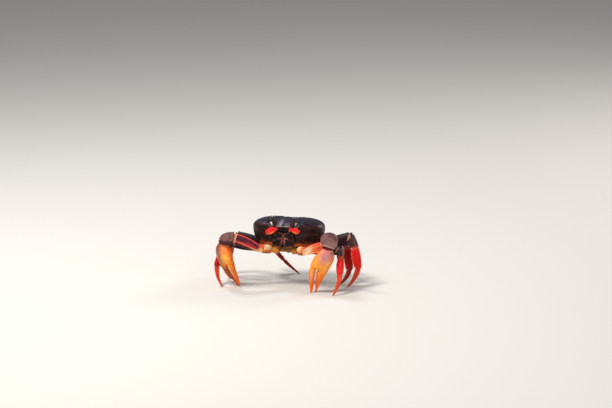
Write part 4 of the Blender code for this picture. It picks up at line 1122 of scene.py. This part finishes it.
def make_carpus(side, claw):
    """The domed wrist segment, cut by the elbow and wrist planes with rounded edges."""
    left = side == "l"
    way, elbow_way, wrist_way = (unit(claw[key]) for key in ("carpus_way", "elbow_way", "wrist_way"))
    centre, half = np.array(claw["carpus"]), np.array(claw["carpus_half"])
    elbow, wrist = np.array(claw["elbow"]), np.array(claw["wrist"])
    points = centre + (ball(120, 180, 2.4, 0.01) * half) @ np.array((way, np.cross(UP, way), UP))
    depths = []
    for joint, outward in ((elbow, -elbow_way), (wrist, wrist_way)):
        depth = (points - joint) @ outward + GAP / 2
        past = (depth + CUT_SOFT) / CUT_SOFT
        eased = np.where(past > 0, -CUT_SOFT * np.exp(-past), depth)
        points = points + outward * (eased - depth)[..., None]
        depths.append(eased)
    elbow_rim, wrist_rim = bump(depths[0], -1.7, 0.55), bump(depths[1], -1.7, 0.6)
    high = (points[..., 2] - centre[2]) / half[2]
    out = unit((points - centre) / half ** 2)
    push = 0.3 * elbow_rim + 0.3 * wrist_rim - 0.25 * bump(depths[1], -3.3, 0.6)
    push += 0.16 * waves(points, 6.5, 51) + 0.07 * grains(points, 1.6, 52) + 0.03 * waves(points, 1.8, 53)
    if left:
        away = (points - centre) @ np.array((-math.sin(CAMERA_YAW), math.cos(CAMERA_YAW), 0))
        away = away - 0.6 - 1.8 * np.maximum(high, 0)
        line = bump(away, 0, 0.5) * ramp(-0.55, -0.1, high)
        push += 0.18 * line - 0.5 * blobs(points, [centre + CARPUS_DIMPLE], 2.2)
    points = points + out * push[..., None]
    lit = (out * unit((0.35, -0.5, -0.55))).sum(-1)
    paint = painted(
        MAUVE,
        (0.75 * ramp(0.2, 0.95, high), MAUVE_DARK),
        ((0.45 if left else 0.25) * ramp(0.3, 0.9, lit), colour("b08c86")),
        (0.4 * clouds(points, 5, 54, 0.05, 0.5), MAUVE_DARK))
    if left:
        # Painted highlights on the left carpus: a pink line and a peach patch along its edge as seen from
        # the camera, the patch at its outer end.
        rim_highlight = bump(away + 0.8 * waves(points, 5, 56), 0, 1.8) * ramp(-0.75, 0.0, high)
        rim_highlight = rim_highlight * ramp(1.0, 0.6, high) * ramp(0.6, 0.95, ((points - centre) @ way) / half[0])
        paint = painted(
            paint,
            (0.6 * blobs(points, [centre + CARPUS_DIMPLE - 0.4 * BACK], 2.0), PINK),
            (0.28 * line, PINK_RIM_AND_HIGHLIGHT),
            (0.6 * rim_highlight, colour("ec9e7a")))
    # The lighter rims at the elbow cut, and at the wrist cut on the left, are partly the rims' own pink and
    # partly painted highlight where light catches the edges.
    paint = painted(
        paint,
        (0.5 * elbow_rim, PINK_RIM_AND_HIGHLIGHT if left else colour("96685e")),
        (0.55 * wrist_rim, PINK_RIM_AND_HIGHLIGHT if left else MAROON))
    # Painted shadow: the lower part of the right carpus is darkened nearly to black.
    if not left:
        paint = painted(paint, (0.8 * ramp(0.4, 0.2, high + 0.06 * waves(points, 6, 57)), MAROON * 0.35))
    paint = painted(paint, (0.8 * ramp(-1.0, -0.2, np.maximum(*depths)), MAROON))
    pile = Pile(points, paint)
    axes = (wrist_way, np.cross(wrist_way, BACK), BACK)
    add_ball(pile, wrist, claw["wrist_half"], axes, colour("782c22"), 16, 24)
    pile.dress("claw_%s_carpus" % side, LIMB_SKIN, "claw_wrist")


def make_ischium(side, hip, root, hip_normal, root_normal):
    limb = Limb(hip + hip_normal * GAP / 2, root - root_normal * GAP / 2, hip_normal, root_normal, BACK,
                *(swell(*size) for size in ISCHIUM_SIZES), 2.4)
    t, _, points = limb.grid(60, 80, 1.0, 1.2)
    push = 0.12 * waves(points, 4, 61) + 0.08 * grains(points, 1.4, 62)
    points = displaced(points, push + 0.2 * bump(t, 0.9, 0.05) - 0.22 * bump(t, 0.3, 0.03))
    high = (points[..., 2] - root[2]) / 4.5
    pale = bump(t, 0.62, 0.24) * ramp(-0.5, 0.3, high)
    paint = painted(
        colour("f0b070"),
        ((0.95 if side == "r" else 0.35) * pale, CREAM),
        (0.6 * clouds(points, 5, 63, 0.0, 0.45), colour("e87630")),
        (0.8 * ramp(0.2, -0.7, high), colour("ba5422")),
        (0.55 * clouds(points, 2.6, 68, 0.1, 0.5) * (1 - pale), colour("965432")),
        (0.7 * ramp(0.3, 0.0, t), colour("dc7828")),
        (0.7 * bump(t, 0.3, 0.03), STERNUM_DARK),
        (0.7 * ramp(0.88, 1.0, t), CLAW_RED))
    pile = Pile(points, paint)
    knuckle(pile, root, root_normal, limb.thin, ROOT_KNUCKLE, MEMBRANE * 0.8)
    knuckle(pile, hip, hip_normal, limb.thin, HIP_KNUCKLE, MEMBRANE * 0.8)
    pile.dress("claw_%s_ischium" % side, UNDER_SKIN, "claw_root")


def make_merus(side, claw, root, elbow, root_normal, elbow_normal):
    """The first long segment, with a beaded line above and below its hollow face."""
    left = side == "l"
    hint = np.cross(elbow - root, unit((0, -0.25, 1.0)))
    limb = Limb(root + root_normal * GAP / 2, elbow - elbow_normal * GAP / 2, root_normal, elbow_normal,
                hint, swell(*claw["arm"], 0.75), swell(*ARM_THICK), 2.5)
    t, angle, points = limb.grid(130, 104, 1.0, 1.3)
    top = 0.0 if limb.wide[2] > 0 else math.pi
    ahead = math.pi / 2 if limb.thin[1] < 0 else -math.pi / 2
    high = facing(angle, top)
    off_top = turned(angle, top) * math.copysign(1, math.sin(ahead) * math.cos(top))
    (crest, crest_width), (margin, margin_width) = claw["crest"], claw["margin"]
    off_crest = off_top - np.radians(mix(58.0, crest, ramp(0.0, 0.6, t)))
    off_margin = off_top - np.radians(mix(122.0, margin, ramp(0.05, 0.6, t)))
    upper = np.exp(-(off_crest / crest_width) ** 4)
    lower = np.exp(-(off_margin / margin_width) ** 4)
    face = ramp(-0.1, 0.12, off_crest) * ramp(0.1, -0.12, off_margin)
    # Below the lower beaded line the arm is painted near black, a painted shade on its underside.
    shaded_underside = ramp(0.05, 0.25, off_margin) + ramp(-2.2, -2.6, off_top)
    push = upper * (0.3 + 0.35 * beads(t, limb.length, 1.5))
    push += lower * (0.35 + 0.4 * beads(t, limb.length, 1.4, 0.4))
    push -= 0.8 * face * (1 - upper) * (1 - lower) * ramp(0, 0.15, t) * ramp(1, 0.9, t)
    push += 0.35 * bump(t, 0.955, 0.02) + 0.07 * grains(points, 1.5, 64) + 0.06 * waves(points, 3, 65)
    points = displaced(points, push)
    paint = painted(
        MAROON,
        (0.6 * clouds(points, 5, 66, 0.0, 0.4) * face, colour("68163a")),
        (0.8 * ramp(0.3, 0.8, high) * (1 - face), colour("3a223a")),
        (0.9 * shaded_underside, colour("220c10")),
        (0.95 * upper, mix(colour("f05442"), CRIMSON, ramp(-0.15, 0.2, off_crest)[..., None])))
    if left:
        streaks = 0.4 + 0.6 * clouds(points * np.array((1, 2.4, 2.4)), 13, 67, -0.1, 0.25)
        paint = painted(
            paint,
            (0.8 * ramp(0.2, 0.7, high), colour("b23a2a")),
            (0.9 * face, mix(CREAM, colour("fa965c"), ramp(0.25, 0.55, t)[..., None])),
            (face * streaks * ramp(0.32, 0.58, t), colour("e24624")),
            (0.75 * face * ramp(-0.1, -0.6, high), CLAW_ORANGE))
    else:
        paint = painted(paint, (0.8 * bump(off_margin, -0.36, 0.17) * ramp(0.75, 0.4, t), CRIMSON))
    margin_tone = colour("fa7a58" if left else "ee543e")
    margin_tone = mix(margin_tone, colour("ffc47a"), ramp(0.5, 0.15, t)[..., None])
    root_tone = mix(colour("ffc47c"), colour("f6683e"), ramp(0.1, 0.5, high)[..., None])
    cuff = ramp(0.885, 0.92, t) * ramp(-0.2, 0.2, facing(angle, ahead)) * ramp(-0.75, -0.35, high)
    paint = painted(
        paint,
        (0.95 * lower, margin_tone),
        (0.9 * ramp(0.2, 0.06, t) * (1 - shaded_underside), root_tone),
        (0.95 * cuff, colour("ffb688")))
    pile = Pile(points, paint)
    knuckle(pile, elbow, elbow_normal, limb.thin, ELBOW_KNUCKLE, MAROON)
    pile.dress("claw_%s_merus" % side, CLAW_SKIN, "claw_arm")


def make_claws():
    for side, claw in CLAWS.items():
        hip, root, elbow = (np.array(claw[key]) for key in ("hip", "root", "elbow"))
        root_normal = joint_normal(hip, root, elbow)
        make_ischium(side, hip, root, joint_normal(hip_start(hip), hip, root), root_normal)
        make_merus(side, claw, root, elbow, root_normal, unit(claw["elbow_way"]))
        make_carpus(side, claw)
        hand = Hand(claw)
        make_palm(side, hand)
        make_moving_finger(side, hand)


def make_eye(side, sign):
    root, end, top = (mirrored(point, sign) for point in (STALK_ROOT, STALK_END, EYE_TOP))
    bend = joint_normal(root, end, top)
    size = swell(STALK_RADIUS * 0.95, STALK_RADIUS, STALK_RADIUS * 0.9)
    stalk = Limb(root, end, unit(end - root), bend, BACK, size, size, 2.0)
    t, _, points = stalk.grid(44, 48, 0.6, 0.5)
    collar = bump(t, 0.95, 0.05)
    push = 0.1 * collar - 0.15 * bump(t, 0.66, 0.2) + 0.4 * ramp(0.4, 0.05, t)
    points = displaced(points, push + 0.04 * grains(points, 0.8, 71))
    paint = painted(
        colour("3e282a"),
        (0.25 * collar, MAUVE),
        (0.6 * clouds(points, 2.4, 72, -0.1, 0.4), BLACK))
    Pile(points, paint).dress("eyestalk_" + side, MOUTH_SKIN, "stalk")

    steps = np.linspace(0, 1, 48)
    radii = STALK_RADIUS * 1.14 * np.maximum(0.02, 1 - np.abs(1.45 * steps - 0.45) ** 2.6) ** 0.5

    def size(u):
        return np.interp(u, steps, radii)

    eye = Limb(end + bend * GAP, top, bend, unit(top - end), BACK, size, size, 2.0)
    t, angle, points = eye.grid(44, 48, 0.2, 0.3)
    cup = bump(t, 0.12, 0.09)
    points = displaced(points, 0.012 * np.sin(t * 60) * np.sin(angle * 18) + 0.1 * cup)
    # The pinkish tip of the eye is a painted highlight.
    paint = painted(
        colour("140c0e"),
        (0.5 * cup, MAUVE_DARK),
        (0.7 * ramp(0.8, 1.0, t), colour("784246")))
    Pile(points, paint).dress("eye_" + side, EYE_SKIN, "eye")


def make_antenna(side, sign):
    root, end = mirrored(ANTENNA_ROOT, sign), mirrored(ANTENNA_END, sign)
    way = unit(end - root)
    size = swell(0.85, 0.95, 0.34, 0.3)
    t, _, points = Limb(root, end, way, way, BACK, size, size, 2.0).grid(90, 20, 0.3, 0.2)
    rings = np.cos(t * math.tau / np.where(t < 0.42, 0.14, 0.055))
    points = displaced(points, 0.09 * np.maximum(rings, 0) * mix(1.0, 0.4, t))
    paint = painted(colour("ba2822"), (0.25 * ramp(0.2, 0.9, rings), PINK))
    Pile(points, paint).dress("antenna_" + side, MOUTH_SKIN, "stalk")


def mouth_place(x, depth, z):
    """A place in the mouth's leaning frame; negative depth is towards the front."""
    c, s = math.cos(MOUTH_LEAN), math.sin(MOUTH_LEAN)
    return np.stack((MOUTH[0] + x, MOUTH[1] + depth * c - z * s, MOUTH[2] + depth * s + z * c), axis=-1)


def plate_place(u, depth, v, sign):
    """A place on an outer mouth plate, u across it and v up it, which leans outward at the top."""
    c, s = math.cos(PLATE_SPREAD), -math.sin(PLATE_SPREAD) * sign
    return mouth_place(PLATE_CENTRE * sign + u * c + v * s, -GAP - depth, v * c - u * s)


def make_maxilliped(side, sign):
    """One outer mouthpart: a lower and an upper plate with a joint."""
    steps, shares, depths = np.array(PLATE_PROFILE).T
    depth = np.linspace(0, 1, 60)
    share, angle = by_angle(np.interp(depth, steps, shares), 150)
    depth = np.interp(depth, steps, depths)[:, None]
    u, v = superellipse(angle, PLATE_HALF[0] * share, PLATE_HALF[1] * share, 2.5)
    outer = u * sign
    surface = ramp(0.55, 0.9, depth)
    seam = v + 0.42 * outer
    suture = (bump(seam, 0.2, 0.4) + 0.7 * bump(v, -7.0, 0.35)) * surface
    keel = bump(outer - 0.25 * v, 1.6, 0.7) * ramp(-0.5, -2.5, v) * surface
    dent = bump(outer, 0.6, 2.0) * ramp(1.0, -2.0, v) * surface
    points = plate_place(u, depth * PLATE_THICK - 0.5 * suture - 0.18 * keel - 0.5 * dent, v, sign)
    points -= BACK * (0.06 * grains(points, 0.9, 81) * surface)[..., None]
    # The pink lines along the seam and the inner edge of each plate are painted highlights, twice as strong
    # on the crab's left.
    plate_highlight = 0.8 if sign > 0 else 0.4
    margin = ramp(0.74, 0.86, share) * ramp(-0.5, -2.5, outer) * ramp(-4.5, -2.0, v) * ramp(2.6, 1.2, v)
    paint = painted(
        colour("1b1010"),
        (0.5 * clouds(points, 5, 82, 0.0, 0.5), colour("381a16")),
        (0.55 * suture, colour("58342e")),
        (0.3 * ramp(0.82, 0.97, share) * (1 - surface * 0.4), colour("60382c")),
        (0.2 * keel, BLACK),
        (plate_highlight * bump(seam, 0.7, 0.5) * ramp(1.5, -3.5, outer) * surface, colour("cd8280")),
        (plate_highlight * margin, colour("be7670")),
        (0.5 * clouds(points, 3.5, 83, 0.05, 0.5) * ramp(0.55, 0.8, share) * surface, colour("782c1c")),
        (0.75 * ramp(-6.9, -8.6, v), CLAW_ORANGE * 0.5))
    Pile(points, paint).dress("maxilliped_" + side, MOUTH_SKIN, "mouth")


def make_bristles(side, sign):
    """The bristles along the edges of an outer mouthpart."""
    hair = Pile()
    for _ in range(BRISTLES):
        v = mix(-8.2, 8.2, dice.random())
        half = PLATE_HALF[0] * max(0.05, 1 - (abs(v) / PLATE_HALF[1]) ** 2.5) ** (1 / 2.5)
        inner = dice.random() < 0.7
        u = (-half if inner else half) * sign * 0.97
        root = plate_place(u, 1.2 + 1.2 * dice.random(), v, sign)
        way = (-sign * 0.6 if inner else sign * 0.25, -0.5, dice.uniform(-0.5, 0.1))
        length = dice.uniform(0.9, 1.5) if inner else 0.7
        add_thorn(hair, root, way, length, 0.08, colour("462c22"), colour("aa7850"), (0, 0, -0.2), 4,
                  (0.5 + u / 16, 0.5 + v / 20))
    hair.make("maxilliped_%s_bristles" % side, HAIR_SKIN, "mouth")


def make_mouth_inside():
    """The jaws and palps in the gap between the outer mouthparts, and the brow's folded feelers."""
    pile = Pile()
    for sign in (1, -1):
        tilt = unit((0.35 * sign, 0, 1))
        axes = (np.cross(BACK, tilt), BACK, tilt)
        add_ball(pile, mouth_place(sign, -0.9, 4.6), (1.1, 0.9, 3.2), axes, colour("784642"), 22, 22, 2.2)
        add_ball(pile, mouth_place(sign, -0.9, -1.6), (1.0, 0.9, 3.4), axes, colour("54302c"), 22, 22, 2.2)
        axes = ((1, 0, 0.15 * sign), BACK, UP)
        add_ball(pile, mirrored(FEELER, sign), (2.3, 1.0, 1.1), axes, colour("3c2626"), 18, 26, 2.4)
    pile.make("mouth_inside", MOUTH_SKIN, "mouth")


def add_hip(pile, hip, after, radius, tint, pale):
    hip = np.array(hip, float)
    start = hip_start(hip)
    normal = joint_normal(start, hip, after)
    size = swell(radius, radius, radius * 0.92)
    limb = Limb(start, hip - normal * GAP / 2, unit(hip - start), normal, BACK, size, size, 2.2)
    t, _, points = limb.grid(60, 56, 0.5, 0.9)
    crease = bump(t, 0.72, 0.03)
    points = displaced(points, 0.15 * bump(t, 0.93, 0.03) - 0.2 * crease + 0.08 * grains(points, 1.2, 94))
    paint = painted(
        tint,
        (0.5 * clouds(points, 3, 95, 0, 0.5), STERNUM_OLIVE),
        (0.5 * crease, STERNUM_DARK),
        (ramp(0.95, 1.0, t) * pale, MEMBRANE))
    pile.add(points, paint)


def make_sternum():
    """The plate under the body with the seams of its segments, and the ten hips."""
    wall = np.interp(np.linspace(0, 1, 40), (0, 0.6, 0.85, 1), (1, 1, 0.97, 0.92))
    bottom = np.linspace(0.86, 0.01, 90)
    bottom_heights = STERNUM_BOTTOM + 0.35 * ramp(0.7, 0.86, bottom)
    heights = np.array((*np.linspace(STERNUM_TOP, STERNUM_EDGE, 40), *bottom_heights))
    under = ramp(39.2, 38.2, heights)[:, None]
    share, angle = by_angle((*wall, *bottom), 220)
    half_length = (STERNUM_REAR - STERNUM_FRONT) / 2
    x, y = superellipse(angle, STERNUM_HALF_WIDTH * share, half_length * share, 2.8)
    y = (STERNUM_REAR + STERNUM_FRONT) / 2 + y
    side = np.abs(x)
    lines = [bump(y - lean * side, start, 0.45) for start, lean in STERNUM_SEAMS]
    seams = np.max(lines, axis=0) * ramp(2, 6, side)
    middle = bump(x, 0, 0.5) * ramp(-8, -14, y)
    swellings = np.maximum(0, np.cos((y - 2) * 0.8)) * ramp(6, 12, side) * ramp(20, 15, side)
    z = heights[:, None] + under * (0.55 * seams + 0.5 * middle - 0.35 * swellings)
    points = np.stack((x, y, z), axis=-1)
    points = displaced(points, 0.05 * grains(points, 1.2, 91) + 0.05 * waves(points, 4, 92))
    paint = painted(
        STERNUM_OLIVE,
        (0.6 * clouds(points, 6, 93, 0, 0.4), colour("b07e3c")),
        (0.8 * np.maximum(seams, middle), STERNUM_DARK),
        (0.5 * ramp(40, 43.5, z), STERNUM_DARK))
    pile = Pile(points, paint)
    for name, joints in LEGS.items():
        add_hip(pile, joints[0], joints[1], HIP_RADIUS * LEG_GIRTH[name[1]], colour("704a32"), 0.8)
    for claw in CLAWS.values():
        add_hip(pile, claw["hip"], claw["root"], CLAW_HIP_RADIUS, colour("e88c32"), 0.4)
    pile.dress("sternum", UNDER_SKIN, "sternum")


def tail_line(s):
    """The middle of the folded tail and its half width, s plates along it."""
    count = range(len(ABDOMEN_WIDTHS))
    middle = np.stack([np.interp(s, count, axis) for axis in ABDOMEN_PATH.T], axis=-1)
    return middle, np.interp(s, count, ABDOMEN_WIDTHS)


def make_abdomen():
    """The tail folded under the body, one domed plate after another."""
    rows = 260
    steps = np.linspace(0, len(ABDOMEN_WIDTHS) - 1, rows)
    centre, half = tail_line(steps)
    along = unit(np.gradient(centre, axis=0))
    for _ in range(6):
        before, after = np.roll(along, 1, axis=0), np.roll(along, -1, axis=0)
        before[0] = after[-1] = 0
        along = unit(along + before + after)
    out = np.cross(ACROSS, along)
    bent, angle = by_angle(steps, 100)
    bent = bent + 0.12 * np.cos(angle) ** 2
    past_seam = bent - np.round(bent)
    seam = np.abs(past_seam)
    plate = ramp(0.0, 0.15, seam) * ramp(0.0, 0.06, bent)
    end = 0.2 + 0.8 * arc((8 - steps) / 0.8)
    half_wide = (half * end)[:, None] * mix(0.93, 1.0, plate)
    u, v = superellipse(angle, half_wide, 1.1 * mix(0.5, 1.0, plate), 3.0)
    side = np.abs(u)
    fold = bump(seam, 0.33, 0.05) * (past_seam > 0) * (bent < 4) * ramp(11, 8, side)
    v = np.where(v > 0, v + 0.25 * bump(u, 0, 3.5) * plate + 0.22 * fold, v)
    points = centre[:, None] + ACROSS * u[..., None] + out[:, None] * v[..., None]
    points = displaced(points, 0.05 * grains(points, 1.1, 96))
    points[:2, :, 2] = np.minimum(points[:2, :, 2], STERNUM_TOP)
    paint = painted(
        colour("785828"),
        (0.85 * (1 - plate), STERNUM_DARK),
        (0.5 * clouds(points, 4, 97, 0, 0.4), colour("aa8046")),
        (ramp(4.8, 2.6, bent) * mix(0.9, 0.6, ramp(6, 12, side)), SHELL_BROWN),
        (0.55 * bump(seam, 0.2, 0.05) * ramp(5, 3, bent), colour("804826")))
    Pile(points, paint).dress("abdomen", UNDER_SKIN, "abdomen")


def make_fringe():
    """The hair along both edges of the folded tail."""
    hair = Pile()
    for _ in range(FRINGE_HAIRS):
        s = dice.uniform(2.6, 7.7)
        sign = dice.choice((-1, 1))
        middle, width = tail_line(s)
        width *= 1 if s < 7.2 else 0.85
        root = middle + ACROSS * (sign * (width - 0.25)) + 0.3 * UP
        way = (sign * 0.8, dice.uniform(-0.5, 0.1), dice.uniform(-0.1, 0.5))
        add_thorn(hair, root, way, dice.uniform(0.7, 1.2), 0.07, colour("5a3c24"), colour("b48c5a"),
                  (0, -0.2, 0), 4, (0.5 + sign * width / 32, s / 10))
    hair.make("abdomen_fringe", HAIR_SKIN, "abdomen")


def make_face():
    for side, sign in (("l", 1), ("r", -1)):
        make_eye(side, sign)
        make_antenna(side, sign)
        make_maxilliped(side, sign)
        make_bristles(side, sign)
    make_mouth_inside()


def set_camera():
    flat = math.cos(CAMERA_LIFT)
    back = Vector((math.sin(CAMERA_YAW) * flat, -math.cos(CAMERA_YAW) * flat, math.sin(CAMERA_LIFT)))
    right = Vector((math.cos(CAMERA_YAW), math.sin(CAMERA_YAW), 0))
    aim = Vector(OFFSET) + right * AIM_RIGHT + back.cross(right) * AIM_UP
    lens = bpy.data.cameras.new("camera")
    lens.lens = LENS
    lens.sensor_width = SENSOR
    lens.clip_start = 0.1
    lens.clip_end = 50.0
    camera = linked("camera", lens)
    camera.location = aim + back * CAMERA_RANGE
    camera.rotation_euler = back.to_track_quat("Z", "Y").to_euler()
    bpy.context.scene.camera = camera
    bpy.context.scene.view_settings.view_transform = "Standard"


def set_world():
    world = bpy.data.worlds.new("world")
    bpy.context.scene.world = world
    world.use_nodes = True
    sky = world.node_tree.nodes["Background"]
    sky.inputs["Color"].default_value = (0.92, 0.95, 1.0, 1)
    sky.inputs["Strength"].default_value = 0.3


def soft_light(name, place, size, power, tint):
    """A square studio light that faces the crab."""
    lamp = bpy.data.lights.new(name, "AREA")
    lamp.size = size
    lamp.energy = power
    lamp.color = tint
    light = linked(name, lamp)
    light.location = Vector(OFFSET) + Vector(place)
    light.rotation_euler = (Vector(place) - Vector((0, 0, LIGHT_AIM))).to_track_quat("Z", "Y").to_euler()


def make_floor():
    mesh = bpy.data.meshes.new("floor")
    mesh.from_pydata([(-4, -4, 0), (4, -4, 0), (4, 8, 0), (-4, 8, 0)], [], [(0, 1, 2, 3)])
    finish = bpy.data.materials.new("pale_floor")
    finish.use_nodes = True
    shader = finish.node_tree.nodes["Principled BSDF"]
    shader.inputs["Base Color"].default_value = (0.60, 0.575, 0.54, 1)
    shader.inputs["Roughness"].default_value = 0.9
    mesh.materials.append(finish)
    floor = linked("floor", mesh)


make_carapace()
make_face()
make_sternum()
make_abdomen()
make_fringe()
make_claws()
make_legs()
set_camera()
set_world()
soft_light("key", (-0.45, -0.6, 1.2), 0.4, 19.0, WARM_LIGHT)
soft_light("fill", (0.9, -0.9, 0.6), 0.7, 3.5, COOL_LIGHT)
soft_light("glare", (-0.6, 0.4, 1.1), 0.3, 7.0, COOL_LIGHT)
soft_light("edge", (0.9, 1.1, 0.75), 0.5, 9.0, WARM_LIGHT)
make_floor()
